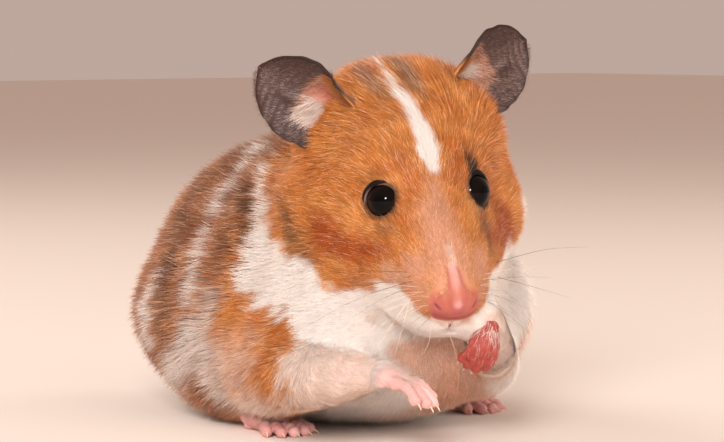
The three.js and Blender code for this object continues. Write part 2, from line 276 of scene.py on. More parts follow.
def dent(points, line, depth, width):  # a groove along a line: depth exp(-(distance / width)^2)
    return depth * np.exp(-((lineDistance(points, line) / width) ** 2))


def mirrorLine(line):  # the same line on the other side: x turned to -x
    return [(-x, y, z) for x, y, z in line]


def relief(points):  # how far the face's grooves press in
    local = toHead(points)
    near = farFrom(local, body["nose"]) < face["reach"][0]
    pressed = np.zeros(len(points))
    for line, depth, width in face["relief"]:
        for own in (line, mirrorLine(line)):
            pressed[near] += dent(local[near], own, depth, width)
    return pressed


def coatLevel(points):  # 0 on the coat's outside, with the face's grooves pressed in
    return fleshDistance(points) + relief(points)


skin = {
    "low": (-36, -60, -0.9),
    "high": (37, 58, 78),
    "step": 0.95,
    "rounds": 3,  # of evening out
    "finer": [((0, -13, -9), 14), ((0, -17.5, -11), 8.5)],  # middle and radius, in the head's frame
    "floorGap": 0.3,  # the belly's skin stops this far above the floor
}


def skinDistance(points):
    # The skin lies inside the coat's outside by the coat's depth. The nose is joined on, and grooves are
    # pressed in.
    local = toHead(points)
    distances = [coatLevel(points) + coatDepth(points)]
    distances += [lumpDistance(local, *mass) for mass in face["noseMasses"]]
    skinLevel = softMin(distances, face["noseBlend"])
    near = farFrom(local, body["nose"]) < face["reach"][1]
    small = local[near]
    groove = dent(small, face["philtrum"], *face["pressed"]["philtrum"])
    for name in ("nostril", "mouth"):
        for line in (face[name], mirrorLine(face[name])):
            groove += dent(small, line, *face["pressed"][name])
    skinLevel[near] += groove
    return np.maximum(skinLevel, skin["floorGap"] - points[:, 2])


def slopeOf(field, points, gap=0.05):
    # The field's slope: (f(p + gap) - f(p - gap)) / 2 gap along each axis.
    steps = np.eye(3) * gap
    return np.stack([(field(points + step) - field(points - step)) / (2 * gap) for step in steps], 1)


def settle(points, field, rounds):
    # Newton's steps on to the surface where the field is 0: p - slope f / |slope|^2
    for _ in range(rounds):
        slope = slopeOf(field, points)
        points = points - slope * (field(points) / np.maximum((slope**2).sum(1), 0.2))[:, None]
    return points


def surfaceNet(field, low, high, step):
    # A net over the surface: a point in each grid cell that the surface passes through, at the mean of the
    # places where it crosses the cell's edges, and a quad round each grid edge that it crosses.
    axes = [np.arange(a, b + step, step) for a, b in zip(low, high)]
    grid = np.stack(np.meshgrid(*axes, indexing="ij"), -1)
    value = field(grid.reshape(-1, 3)).reshape(grid.shape[:3])
    inside, cells = value < 0, np.array(value.shape) - 1

    def corner(at):  # the values at one corner of all cells
        return value[at[0]:at[0] + cells[0], at[1]:at[1] + cells[1], at[2]:at[2] + cells[2]]

    total, count = np.zeros((*cells, 3)), np.zeros(cells)
    for a in range(3):
        b, c = (a + 1) % 3, (a + 2) % 3
        for j, k in ((0, 0), (0, 1), (1, 0), (1, 1)):
            start = np.zeros(3, int)
            start[b], start[c] = j, k
            first, second = corner(start), corner(start + np.eye(3, dtype=int)[a])
            crosses = (first < 0) != (second < 0)
            total += crosses[..., None] * start
            total[..., a] += np.where(crosses, first / np.where(crosses, first - second, 1), 0)
            count += crosses
    cut = count > 0
    number = np.full(cells, -1)
    number[cut] = np.arange(cut.sum())
    points = np.array(low) + step * (np.argwhere(cut) + total[cut] / count[cut][:, None])
    quads = []
    for a in range(3):
        b, c = (a + 1) % 3, (a + 2) % 3
        sideB, sideC = np.eye(3, dtype=int)[b], np.eye(3, dtype=int)[c]
        edge = np.argwhere(np.diff(inside.astype(np.int8), axis=a) != 0)
        within = (edge[:, b] > 0) & (edge[:, b] < cells[b]) & (edge[:, c] > 0) & (edge[:, c] < cells[c])
        edge = edge[within]
        around = (edge - sideB - sideC, edge - sideC, edge, edge - sideB)
        quad = np.stack([number[tuple(cell.T)] for cell in around], 1)
        quads.append(np.where(inside[tuple(edge.T)][:, None], quad, quad[:, ::-1]))
    return points, np.vstack(quads)


def evenOut(points, quads, field, rounds):
    # Each point moves six tenths of the way to the mean of its neighbours, then back on to the surface.
    pairs = np.vstack([quads[:, [k, (k + 1) % 4]] for k in range(4)])
    pairs = np.vstack([pairs, pairs[:, ::-1]])
    degree = np.bincount(pairs[:, 0], minlength=len(points))
    for _ in range(rounds):
        sums = [np.bincount(pairs[:, 0], row, minlength=len(points)) for row in points[pairs[:, 1]].T]
        points = settle(mix(points, np.stack(sums, 1) / degree[:, None], 0.6), field, 1)
    return points


def makeMesh(name, points, triangles):  # a smooth mesh of triangles, set into the row frame
    mesh = bpy.data.meshes.new(name)
    mesh.vertices.add(len(points))
    mesh.vertices.foreach_set("co", toRow(points).astype(np.float32).ravel())
    mesh.loops.add(triangles.size)
    mesh.loops.foreach_set("vertex_index", triangles.ravel().astype(np.int32))
    mesh.polygons.add(len(triangles))
    mesh.polygons.foreach_set("loop_start", np.arange(0, triangles.size, 3, dtype=np.int32))
    mesh.update(calc_edges=True)
    mesh.polygons.foreach_set("use_smooth", np.ones(len(triangles), bool))
    return mesh


def addObject(name, data):  # an object of its own in the scene
    made = bpy.data.objects.new(name, data)
    bpy.context.scene.collection.objects.link(made)
    return made


def addPiece(name, mesh, materials, replaced=()):  # a mesh with its finishes, riding on the one body
    piece = addObject(name, mesh)
    for material in materials:
        mesh.materials.append(material)
    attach(piece, "root")
    if replaced:
        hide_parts(*replaced)


def addColours(mesh, name, values):  # four numbers for each point
    layer = mesh.attributes.new(name, "FLOAT_COLOR", "POINT")
    layer.data.foreach_set("color", np.asarray(values, np.float32).ravel())


def gridFaces(rows, columns, closeRows=False):
    # Quads between neighbours of a grid of points, closed round along its columns, and along its rows if
    # asked.
    r, c = np.meshgrid(np.arange(rows if closeRows else rows - 1), np.arange(columns), indexing="ij")
    r, c, nextRow, nextColumn = r.ravel(), c.ravel(), (r.ravel() + 1) % rows, (c.ravel() + 1) % columns
    return np.stack([r * columns + c, r * columns + nextColumn, nextRow * columns + nextColumn,
                     nextRow * columns + c], 1)


def poleFaces(columns, ring, pole, flip):  # triangles from a ring of points to the pole that closes it
    c = np.arange(columns)
    fan = np.stack([ring + c, ring + (c + 1) % columns, np.full(columns, pole)], 1)
    return fan[:, ::-1] if flip else fan


def halve(points, triangles, chosen):
    # Splits each edge whose two ends are chosen, at its middle. A triangle with one, two or three such
    # edges becomes two, three or four.
    sides = np.stack([triangles, np.roll(triangles, -1, 1)], 2).reshape(-1, 2)
    edges, back = np.unique(np.sort(sides, 1), axis=0, return_inverse=True)
    splits = chosen[edges].all(1)
    middle = np.full(len(edges), -1)
    middle[splits] = len(points) + np.arange(splits.sum())
    points = np.vstack([points, points[edges[splits]].mean(1)])
    m = middle[back.ravel()].reshape(-1, 3)
    marked = (m >= 0).sum(1)
    # Rotate each triangle so that its split edges come first.
    start = np.select([marked == 1, marked == 2], [np.argmax(m >= 0, 1), (np.argmax(m < 0, 1) + 1) % 3], 0)
    order = (start[:, None] + np.arange(3)) % 3
    t, m = np.take_along_axis(triangles, order, 1), np.take_along_axis(m, order, 1)
    (a, b, c), (ab, bc, ca) = t.T, m.T
    cases = [((a, b, c),), ((a, ab, c), (ab, b, c)), ((ab, b, bc), (a, ab, bc), (a, bc, c)),
             ((a, ab, ca), (ab, b, bc), (ca, bc, c), (ab, bc, ca))]  # by how many edges are split
    made = [np.stack(ends, 1)[marked == k] for k, case in enumerate(cases) for ends in case]
    return points, np.vstack(made)


def trianglesOf(quads):  # corners 0, 1, 2 and 0, 2, 3 of each
    return np.vstack([quads[:, [0, 1, 2]], quads[:, [0, 2, 3]]])


def tubeFaces(rows, columns):
    # A grid's triangles, and a pole at each end: the two points that follow the grid's.
    count = rows * columns
    return np.vstack([trianglesOf(gridFaces(rows, columns)), poleFaces(columns, 0, count, True),
                      poleFaces(columns, count - columns, count + 1, False)])


def crossOf(corners):  # (b - a) x (c - a) of each triangle: its normal times twice its area
    return np.cross(corners[:, 1] - corners[:, 0], corners[:, 2] - corners[:, 0])


markings = {
    "wander": (0.6, 0.18),  # how far the edges stray on the body and on the head
    "head": [
        # mark, strength, softness, stations of x, y, z and radius
        ("white", 1.0, 0.7, [(-3.1, 27.5, 12.6, 0.5), (-3.0, 19.9, 14.2, 0.6), (-2.3, 15.6, 13.8, 0.9),
                             (-1.4, 11.6, 12.7, 1.4), (-0.5, 7.8, 11.0, 1.9), (-0.1, 3.5, 8.9, 2.0),
                             (0.2, -0.3, 6.6, 1.1)]),  # blaze
        ("dark", 0.5, 1.2, [(-6.6, 26.1, 12.7, 1.8), (-6.8, 21.2, 13.6, 1.8), (-6.0, 17.1, 13.6, 1.4),
                            (-5.0, 13.3, 13.0, 0.8)]),  # right of the blaze
        ("dark", 0.55, 1.2, [(0.4, 26.1, 13.5, 1.8), (0.4, 19.4, 14.3, 1.8), (1.1, 15.8, 14.0, 1.5),
                             (2.6, 12.7, 13.1, 0.8)]),  # left of it
        ("white", 0.1, 1.5, [(-6.7, 26.1, 12.7, 1.8), (-6.2, 17.1, 13.6, 1.4)]),
        ("white", 0.1, 1.5, [(0.4, 26.1, 13.5, 1.8), (1.1, 15.8, 14.0, 1.4)]),
        ("rust", 0.95, 2.6, [(-18.7, 2.8, -7.6, 2.4), (-16.3, -1.1, -9.0, 2.9), (-13.2, -4.3, -7.5, 2.6),
                            (-9.9, -7.4, -5.2, 1.5)]),  # cheek
        ("rust", 0.9, 1.6, [(9.9, -7.0, -5.0, 1.0), (13.2, -3.8, -7.0, 2.6), (15.3, -0.5, -10.5, 3.2)]),
        ("rust", 0.35, 1.5, [(-4.4, 3.5, 7.6, 1.6), (-4.6, -1.0, 5.0, 1.6)]),  # beside the blaze
        ("rust", 0.35, 1.5, [(4.4, 3.5, 7.6, 1.6), (4.6, -1.0, 5.0, 1.6)]),
        # above the left eye
        ("dark", 1.0, 0.9, [(7.0, 4.4, 7.4, 0.5), (7.6, 3.0, 5.8, 1.0), (8.4, 1.2, 3.9, 1.5)]),
        # painted shade below the left eye
        ("dark", 0.55, 2.2, [(8.8, -3.6, -1.4, 1.6), (8.9, -6.7, -3.4, 1.9), (9.2, -8.6, -6.0, 1.2)]),
        ("dark", 0.45, 1.2, [(-10.4, -3.6, -2.6, 1.0), (-8.8, -5.4, -2.9, 1.1)]),  # painted shade below the right one
        ("dark", 0.3, 1.5, [(-12.6, 2.6, 2.4, 0.8), (-9.6, 2.4, 4.6, 1.0)]),  # above it
        ("peach", 0.8, 0.8, [(-8.8, -6.2, -4.4, 0.8)]),
        ("white", 0.3, 0.8, [(-8.8, -6.2, -4.4, 0.8)]),
        # rust fur on the far cheek, deepened as painted shade
        ("rust", 1.0, 2.0, [(12.8, 2.0, 3.0, 1.5), (14.8, 0.5, -3.0, 2.0), (15.5, 0.5, -9.0, 3.0)]),
        ("peach", 1.0, 2.2, [(-0.5, -3.5, 4.0, 1.5), (-1.0, -8.0, 0.5, 3.2), (0.0, -13.0, -3.0, 4.0),
                             (0.0, -17.0, -7.0, 4.5)]),  # bridge of the nose
        ("peach", 1.0, 1.6, [(-5.0, -12.5, -6.5, 3.4), (-4.2, -15.5, -9.5, 3.2)]),
        ("peach", 1.0, 1.6, [(5.0, -12.5, -6.5, 3.4), (4.0, -15.5, -9.5, 3.0)]),
        ("white", 1.0, 0.9, [(-15.0, 0.0, -19.5, 4.2), (-11.0, -8.6, -14.6, 3.4), (-8.4, -13.2, -13.2, 3.5),
                             (-4.6, -16.6, -16.0, 3.0), (0.0, -17.6, -18.2, 3.0), (4.6, -16.6, -15.4, 3.2),
                             (8.2, -13.0, -12.6, 3.4), (11.0, -8.0, -14.0, 3.3),
                             (15.0, 0.0, -21.0, 3.8)]),  # muzzle
        ("white", 0.22, 1.2, [(-9.4, -9.6, -8.4, 1.6), (-8.6, -12.6, -9.6, 1.4)]),
        # painted shade: rust darkening the creases beside the nose's bridge
        ("rust", 0.75, 0.7, [(-1.5, -14.6, -3.5, 0.2), (-1.5, -17.1, -4.7, 0.4), (-1.9, -18.8, -6.0, 0.3)]),
        ("rust", 0.7, 0.7, [(1.4, -14.9, -3.6, 0.2), (1.4, -17.0, -4.6, 0.4), (1.6, -19.2, -5.8, 0.3)]),
        ("rust", 0.26, 2.0, [(0.0, -15.0, -4.5, 2.2), (0.0, -19.0, -9.0, 3.4)]),
        # painted highlight: a pale line along the nose's bridge
        ("white", 0.38, 0.8, [(0.4, -12.5, -2.0, 0.7), (0.0, -16.8, -4.3, 0.4), (-0.4, -19.5, -5.4, 0.3)]),
        ("white", 0.9, 0.7, [(-3.0, -18.0, -13.4, 0.8), (0.0, -18.6, -14.4, 1.0), (3.0, -17.9, -13.6, 0.8)]),
        ("gold", 1.0, 1.0, [(-17.4, -1.0, -13.2, 2.6), (-14.4, -5.2, -12.4, 2.4), (-12.6, -8.0, -12.2, 1.3)]),
        ("peach", 0.4, 1.5, [(-14.4, -5.2, -12.6, 1.0), (-12.4, -8.0, -11.6, 1.2)]),
        ("peach", 1.0, 1.6, [(-6.8, -11.5, -25.2, 2.6), (-2.0, -12.0, -26.5, 4.4), (3.0, -11.0, -31.0, 7.0),
                             (8.0, -6.0, -40.0, 8.0)]),  # throat: tan fur, with painted shade under the chin
        # the same painted shade under the chin, taking out the white
        ("cream", 0.75, 1.6, [(-6.8, -11.5, -25.2, 2.6), (-2.0, -12.0, -26.5, 4.4), (3.0, -11.0, -31.0, 7.0),
                              (8.0, -6.0, -40.0, 8.0)]),
    ],
    "body": [  # on the right side; the left carries the same, a little further forward
        ("white", 1.0, 1.1, [(-18.6, 3.6, 49.3, 0.9), (-22.0, -1.1, 44.9, 1.5), (-24.4, -3.6, 40.5, 2.2),
                             (-25.6, -5.0, 36.0, 2.8), (-27.3, -11.4, 32.4, 3.4), (-28.4, -20.1, 28.0, 5.0),
                             (-26.3, -26.1, 21.9, 6.0), (-21.6, -30.3, 17.4, 7.0)]),  # behind the cheek
        ("white", 1.0, 1.0, [(-26.5, -3.0, 33.0, 3.0), (-28.3, -3.0, 28.5, 3.4), (-29.0, -9.0, 28.5, 4.6),
                             (-28.5, -15.0, 27.0, 4.6)]),
        ("white", 0.9, 0.7, [(-15.6, 3.6, 51.8, 0.6), (-18.5, -3.0, 50.4, 0.8)]),  # under the ear
        ("dark", 0.85, 1.5, [(-21.2, 5.1, 46.1, 1.0), (-23.0, 2.2, 43.3, 2.3), (-24.4, 0.8, 40.4, 2.5),
                             (-25.5, -0.4, 37.2, 1.8), (-26.6, -1.4, 34.0, 0.8)]),
        ("dark", 0.62, 1.8, [(-23.6, -8.0, 46.4, 1.2), (-25.6, -11.4, 44.5, 1.6), (-27.3, -14.4, 40.9, 1.8),
                             (-28.0, -16.6, 37.4, 1.9), (-28.0, -19.6, 34.4, 1.8),
                             (-27.2, -23.6, 32.0, 1.1)]),
        ("white", 1.0, 1.6, [(-11.3, 12.9, 53.6, 1.4), (-16.3, 9.6, 51.0, 1.1), (-19.6, 10.3, 47.8, 0.8),
                             (-22.2, 11.4, 44.4, 1.3), (-24.7, 11.9, 39.9, 0.9), (-26.3, 12.4, 35.7, 1.0),
                             (-27.4, 13.4, 31.5, 1.4), (-29.3, 12.8, 25.6, 1.7)]),  # stripe on the flank
        ("white", 1.0, 1.6, [(-26.8, 27.0, 28.0, 1.3), (-28.0, 28.2, 23.0, 2.5), (-28.6, 29.0, 16.0, 3.0)]),
        ("dark", 0.5, 1.6, [(-14.5, 27.5, 47.4, 2.0), (-20.3, 22.6, 43.8, 2.6), (-25.2, 22.0, 34.3, 2.8),
                            (-27.4, 23.0, 28.5, 2.4), (-29.2, 20.4, 21.0, 1.8)]),  # brown band on the flank
        ("dark", 0.3, 1.4, [(-17.0, 7.2, 50.0, 0.8), (-24.0, 6.0, 41.0, 1.6), (-27.5, 5.0, 31.0, 2.0)]),
        ("gold", 1.0, 1.4, [(-29.3, 2.1, 22.0, 2.0), (-28.7, -4.1, 19.8, 2.6), (-28.8, -12.7, 17.7, 1.6)]),
        ("gold", 0.9, 1.4, [(-30.0, 2.1, 20.0, 2.2), (-30.3, -1.0, 15.4, 2.4), (-29.5, -2.4, 9.0, 2.0)]),
        ("white", 0.54, 3.5, [(-29.5, -2.0, 12.0, 6.0), (-31.3, -12.0, 15.5, 4.0)]),
        ("white", 0.66, 3.0, [(-29.8, 6.0, 24.0, 1.5), (-30.5, 6.0, 18.0, 2.5), (-30.5, 5.0, 11.0, 4.0)]),
        ("white", 0.65, 3.5, [(-31.0, -14.0, 7.0, 4.0), (-29.0, -4.0, 4.0, 5.0)]),
        ("white", 1.0, 1.0, [(-26.2, -4.0, 32.0, 3.0), (-27.0, -9.0, 31.5, 3.2), (-27.6, -15.0, 30.0, 2.8)]),
        ("white", 0.75, 2.4, [(-31.0, 9.9, 18.2, 2.4), (-31.4, 12.0, 13.4, 3.4), (-30.0, 20.0, 8.0, 4.0)]),
        ("white", 0.7, 2.2, [(-29.5, -8.0, 11.0, 2.0), (-28.0, -4.0, 5.0, 3.0), (-30.0, 4.0, 6.0, 3.0)]),
        ("white", 1.0, 2.0, [(-9.0, -33.0, 24.0, 12.0), (-7.0, -20.0, 6.0, 12.0), (-8.0, 10.0, 2.0, 13.0),
                             (-4.0, 40.0, 6.0, 9.0)]),  # chest and belly
        # tan fur and painted shade on the chest under the chin
        ("peach", 0.8, 3.0, [(0.0, -32.0, 10.0, 7.0), (0.0, -20.0, 2.0, 9.0)]),
        ("cream", 0.5, 3.0, [(0.0, -32.0, 10.0, 7.0), (0.0, -20.0, 2.0, 9.0)]),
        ("white", 0.7, 1.6, [(-29.0, -21.0, 10.5, 6.0), (-29.0, -27.0, 12.8, 8.0),
                             (-25.4, -35.8, 13.9, 7.0)]),
        ("peach", 1.0, 1.6, [(-29.0, -27.0, 11.5, 6.0), (-25.4, -35.8, 13.4, 6.0)]),
        ("cream", 0.25, 1.6, [(-29.0, -27.0, 11.5, 6.0), (-25.4, -35.8, 13.4, 6.0)]),
    ],
    "left": [  # on the left side alone
        ("white", 1.0, 1.6, [(14.2, -35.4, 42.0, 3.0), (16.6, -33.6, 38.0, 4.5), (21.5, -26.7, 30.6, 7.0),
                             (16.6, -27.1, 22.5, 9.0)]),
        ("white", 1.0, 1.6, [(14.0, -19.0, 18.0, 8.0), (7.5, -30.5, 13.0, 8.0), (0.0, -40.5, 16.0, 7.0),
                             (-6.2, -46.5, 21.4, 6.0)]),  # arm
        ("peach", 0.9, 1.6, [(0.0, -40.5, 16.0, 6.0), (-6.2, -46.5, 21.4, 6.0)]),
        ("cream", 0.45, 1.6, [(0.0, -40.5, 16.0, 6.0), (-6.2, -46.5, 21.4, 6.0)]),
    ],
    "leftAhead": (0, 5, 0),  # how far forward the left side's marks are moved
    "sableFrom": (-1, 6),  # along y, where gold gives way to sable
    "sooty": (0.35, 40, 54),  # how dark the back gets, and the heights over which it does
    "eyeRim": (0.9, 3.9, 4.9),  # a dark rim: strength, and the distances over which it fades
    # its corner's way towards the nose and up, and the same two distances
    "eyeCorner": (4.2, 0.6, 1.2, 2.3),
    # marks that remove others
    "takes": {"cream": ["white"], "gold": ["white", "dark", "rust", "sable", "peach"]},
}
markNames = ["white", "dark", "rust", "sable", "peach"]


def marksAt(points):
    # Each mark is strength (1 - ramp(distance from its line, -soft, soft)), and the larger of two holds.
    # Cream and gold multiply what they take away by 1 less their own share.
    warp = [ripple(points, 5.0, seed)[0] + 0.6 * ripple(points, 2.2, seed + 7)[0] for seed in (1, 2, 3)]
    onBody, onHead = [points + share * np.stack(warp, 1) for share in markings["wander"]]
    folded = np.where(onBody[:, :1] > 0, onBody * [-1, 1, 1] + markings["leftAhead"], onBody)
    found = {name: np.zeros(len(points)) for name in markNames}
    found["sable"] = ramp(folded[:, 1], *markings["sableFrom"])
    for where, side in ((folded, "body"), (points, "left"), (toHead(onHead), "head")):
        for name, strength, soft, line in markings[side]:
            share = strength * (1 - ramp(limbDistance(where, np.array(line)), -soft, soft))
            for other in markings["takes"].get(name, []):
                found[other] = found[other] * (1 - share)
            if name in found:
                found[name] = np.maximum(found[name], share)
    strength, *rim = markings["eyeRim"]
    out, up, *corner = markings["eyeCorner"]
    dark = [found["dark"]]
    for eye in ownEyes:
        inner = eye + out * unit(nosePoint - eye) + headWay([0, 0, up])
        dark += [strength * (1 - ramp(farFrom(points, eye), *rim)), 1 - ramp(farFrom(points, inner), *corner)]
    strength, *heights = markings["sooty"]
    found["dark"] = np.max([*dark, strength * found["sable"] * ramp(points[:, 2], *heights)], axis=0)
    return np.stack([found[name] for name in markNames], 1)


def addMarks(mesh, marks, along, chance, bare):
    # Layer "marks" has the first four; layer "strand" has the share along each tuft, its chance, peach and
    # bare skin.
    addColours(mesh, "marks", marks[:, :4])
    addColours(mesh, "strand", np.stack([along, chance, marks[:, 4], bare], 1))


def newGroup(name, inputs, outputs):  # a group of shader nodes with its named inputs and outputs
    group = bpy.data.node_groups.new(name, "ShaderNodeTree")
    for title, value in inputs:
        socket = group.interface.new_socket(name=title, in_out="INPUT", socket_type="NodeSocketFloat")
        socket.default_value = value
    for title in outputs:
        group.interface.new_socket(name=title, in_out="OUTPUT", socket_type="NodeSocketColor")
    return group, group.nodes.new("NodeGroupInput"), group.nodes.new("NodeGroupOutput")


def feed(tree, value, socket):  # links another node's output to the socket, or sets a plain value on it
    if isinstance(value, bpy.types.NodeSocket):
        tree.links.new(value, socket)
    else:
        socket.default_value = value


def colourMix(tree, factor, first, second, blend="MIX"):
    # First (1 - factor) + second factor, or their product.
    node = tree.nodes.new("ShaderNodeMix")
    node.data_type, node.blend_type = "RGBA", blend
    for value, socket in ((factor, node.inputs["Factor"]), (first, node.inputs[6]), (second, node.inputs[7])):
        feed(tree, value, socket)
    return node.outputs[2]


def layered(tree, colour, *layers):  # lays each tone over the colour by its share, one after another
    for share, over in layers:
        colour = colourMix(tree, share, colour, over)
    return colour


def mathNode(tree, operation, *values):  # one sum: values may be sockets or numbers
    node = tree.nodes.new("ShaderNodeMath")
    node.operation = operation
    for value, socket in zip(values, node.inputs):
        feed(tree, value, socket)
    return node.outputs[0]


def scaled(tree, value, factor, offset):  # value factor + offset
    return mathNode(tree, "MULTIPLY_ADD", value, factor, offset)


def clamped(tree, value):  # kept from 0 to 1
    return mathNode(tree, "MINIMUM", mathNode(tree, "MAXIMUM", value, 0.0), 1.0)


def noiseNode(tree, scale, detail=3.0, distortion=0.0):
    # Noise fixed to the piece, with this many waves in a metre.
    place = tree.nodes.new("ShaderNodeTexCoord")
    node = tree.nodes.new("ShaderNodeTexNoise")
    for name, value in (("Scale", scale), ("Detail", detail), ("Distortion", distortion)):
        node.inputs[name].default_value = value
    tree.links.new(place.outputs["Object"], node.inputs["Vector"])
    return node.outputs["Fac"]


def channels(tree, name):  # the four numbers of one of the mesh's layers
    layer, parts = tree.nodes.new("ShaderNodeAttribute"), tree.nodes.new("ShaderNodeSeparateColor")
    layer.attribute_name = name
    tree.links.new(layer.outputs["Color"], parts.inputs[0])
    return (*parts.outputs, layer.outputs["Alpha"])


# The pale frost tone is real frosted hair that also serves as painted highlights on single strands.
coatTones = {
    "gold": tone(198, 112, 46), "amber": tone(222, 144, 74), "rust": tone(178, 80, 26),
    "sable": tone(140, 82, 48), "fawn": tone(190, 130, 92), "peach": tone(219, 152, 116),
    "dark": tone(54, 36, 30), "white": tone(252, 242, 234), "frostAndGlint": tone(252, 226, 200),
}


def makeCoatGroup():
    # The coat's colour from its marks, times (patches x chance x share along the tuft) (1 - calm) + calm.
    inputs = [(name.title(), 0.0) for name in markNames] + [("Along", 1.0), ("Chance", 0.5)]
    group, start, end = newGroup("coatColour", inputs, ["Colour"])
    given = start.outputs
    mottled = clamped(group, scaled(group, noiseNode(group, 170, 4, 0.4), 3.0, -1.0))
    sable = colourMix(group, mottled, coatTones["sable"], coatTones["fawn"])
    warm = colourMix(group, mottled, coatTones["gold"], coatTones["amber"])
    # A tenth of the strands are pale: partly real frosted hairs, partly painted highlights on single strands.
    glintStrandShare = mathNode(group, "MULTIPLY", mathNode(group, "GREATER_THAN", given["Chance"], 0.9), 0.3)
    over = [(given[name.title()], coatTones[name]) for name in ("rust", "peach", "dark", "white")]
    colour = layered(group, warm, (given["Sable"], sable), *over, (glintStrandShare, coatTones["frostAndGlint"]))
    patchy = scaled(group, noiseNode(group, 260), 0.6, 0.70)
    spread = scaled(group, given["Chance"], 0.72, 0.64)
    length = scaled(group, given["Along"], 0.60, 0.50)
    level = mathNode(group, "MULTIPLY", mathNode(group, "MULTIPLY", patchy, spread), length)
    calm = mathNode(group, "MAXIMUM", given["White"], mathNode(group, "MULTIPLY", given["Peach"], 0.6))
    calm = mathNode(group, "MULTIPLY", calm, 0.6)  # pale hair varies less
    level = mathNode(group, "MULTIPLY_ADD", level, mathNode(group, "SUBTRACT", 1.0, calm), calm)
    grey = group.nodes.new("ShaderNodeCombineColor")
    for socket in grey.inputs:
        group.links.new(level, socket)
    group.links.new(colourMix(group, 1.0, colour, grey.outputs[0], "MULTIPLY"), end.inputs["Colour"])
    return group


coatGroup = makeCoatGroup()


def newFinish(name, settings):  # a material whose shader has these values on its own sockets
    material = bpy.data.materials.new(name)
    material.use_nodes = True
    surface = material.node_tree.nodes["Principled BSDF"]
    for socket, value in settings.items():
        surface.inputs[socket].default_value = value
    return material, material.node_tree, surface


def gloss(roughness, specular):  # how rough, and how strongly it reflects
    return {"Roughness": roughness, "Specular IOR Level": specular}


def scatter(weight, *radius):
    # Light that goes in and out again: how much, and how far in metres for red, green, blue.
    return {"Subsurface Weight": weight, "Subsurface Radius": radius, "Subsurface Scale": 1.0}


def colourInto(tree, surface, colour):  # the shader's colour
    tree.links.new(colour, surface.inputs["Base Color"])


def coatColourIn(tree):  # places the coat's group and feeds it from the mesh's two layers
    made = tree.nodes.new("ShaderNodeGroup")
    made.node_tree = coatGroup
    marks, strand = channels(tree, "marks"), channels(tree, "strand")
    names = ("White", "Dark", "Rust", "Sable", "Along", "Chance", "Peach")
    for name, socket in zip(names, (*marks, *strand[:3])):
        tree.links.new(socket, made.inputs[name])
    return made.outputs["Colour"], strand[3]


def bumpInto(tree, surface, height, strength, distance):
    # Tilts the surface by the height's slope times the distance.
    bump = tree.nodes.new("ShaderNodeBump")
    bump.inputs["Strength"].default_value = strength
    bump.inputs["Distance"].default_value = distance
    tree.links.new(height, bump.inputs["Height"])
    tree.links.new(bump.outputs["Normal"], surface.inputs["Normal"])


def makeCoatFinish():  # the coat's colour with a faint sheen
    sheen = {"Sheen Weight": 0.12, "Sheen Roughness": 0.5}
    material, tree, surface = newFinish("coatHair", gloss(0.62, 0.22) | sheen)
    colourInto(tree, surface, coatColourIn(tree)[0])
    return material


# flush is the bare skin's own red, deepened as painted shade; slit is painted shade in the nostrils and
# mouth; pale lightens the paws and paints a highlight on the nose's ridge
bareTones = {"pink": tone(196, 112, 114), "blotch": tone(184, 94, 94), "flushAndShade": tone(164, 68, 58),
             "slit": tone(104, 38, 32), "pale": tone(244, 200, 194)}


def makeSkinFinish():
    # Coat-coloured under the tufts, pink where it is bare; layer "ear" is flush with painted shade, painted
    # shade in the slits, and pale, which is a painted highlight on the nose's ridge and the paws' paler skin.
    soft = scatter(0.25, 0.0012, 0.0004, 0.0002)
    material, tree, surface = newFinish("hamsterSkin", gloss(0.5, 0.4) | soft)
    coatColour, bare = coatColourIn(tree)
    flushAndShade, slit, pale, _ = channels(tree, "ear")
    pink = colourMix(tree, noiseNode(tree, 500, 4), bareTones["blotch"], bareTones["pink"])
    pink = layered(tree, pink, (pale, bareTones["pale"]), (flushAndShade, bareTones["flushAndShade"]),
                   (slit, bareTones["slit"]))
    colourInto(tree, surface, colourMix(tree, bare, coatColour, pink))
    bumpInto(tree, surface, noiseNode(tree, 3200, 4), 0.35, 0.0002)
    return material


# deep is the pit's own red, darkened as painted shade in the ear's hollow.
earTones = {"dark": tone(84, 62, 56), "rim": tone(52, 34, 28), "pink": tone(186, 104, 84),
            "pale": tone(236, 190, 180), "deep": tone(140, 54, 40)}


def makeEarFinish():  # layer "ear": shares of pink, pale, rim and pit; the pit is red, darkened as painted shade in the ear's hollow
    material, tree, surface = newFinish("earSkin", gloss(0.6, 0.3) | scatter(0.2, 0.001, 0.0004, 0.0002))
    coatColour, bare = coatColourIn(tree)
    pink, pale, rim, pit = channels(tree, "ear")
    mottled = colourMix(tree, noiseNode(tree, 900, 4), earTones["rim"], earTones["dark"])
    colour = layered(tree, mottled, (rim, earTones["rim"]), (pink, earTones["pink"]), (pit, earTones["deep"]),
                     (pale, earTones["pale"]))
    colourInto(tree, surface, colourMix(tree, bare, coatColour, colour))
    bumpInto(tree, surface, noiseNode(tree, 2600, 5), 0.5, 0.00015)
    return material


# The last tone is a painted highlight on the lid's wet edge.
lidTones = {"deep": tone(10, 7, 7), "dark": tone(30, 20, 19), "wetHighlight": tone(166, 134, 134)}


def makeLidFinish():  # near black, with a painted highlight where layer "ear" marks the lid's wet edge
    material, tree, surface = newFinish("lidSkin", gloss(0.5, 0.15))
    colour = colourMix(tree, noiseNode(tree, 1500, 4), lidTones["deep"], lidTones["dark"])
    colourInto(tree, surface, colourMix(tree, channels(tree, "ear")[0], colour, lidTones["wetHighlight"]))
    bumpInto(tree, surface, noiseNode(tree, 4000, 4), 0.4, 0.0001)
    return material


eyeTones = {"pupil": tone(4, 3, 3), "iris": tone(6, 4, 4), "vein": tone(20, 11, 8)}


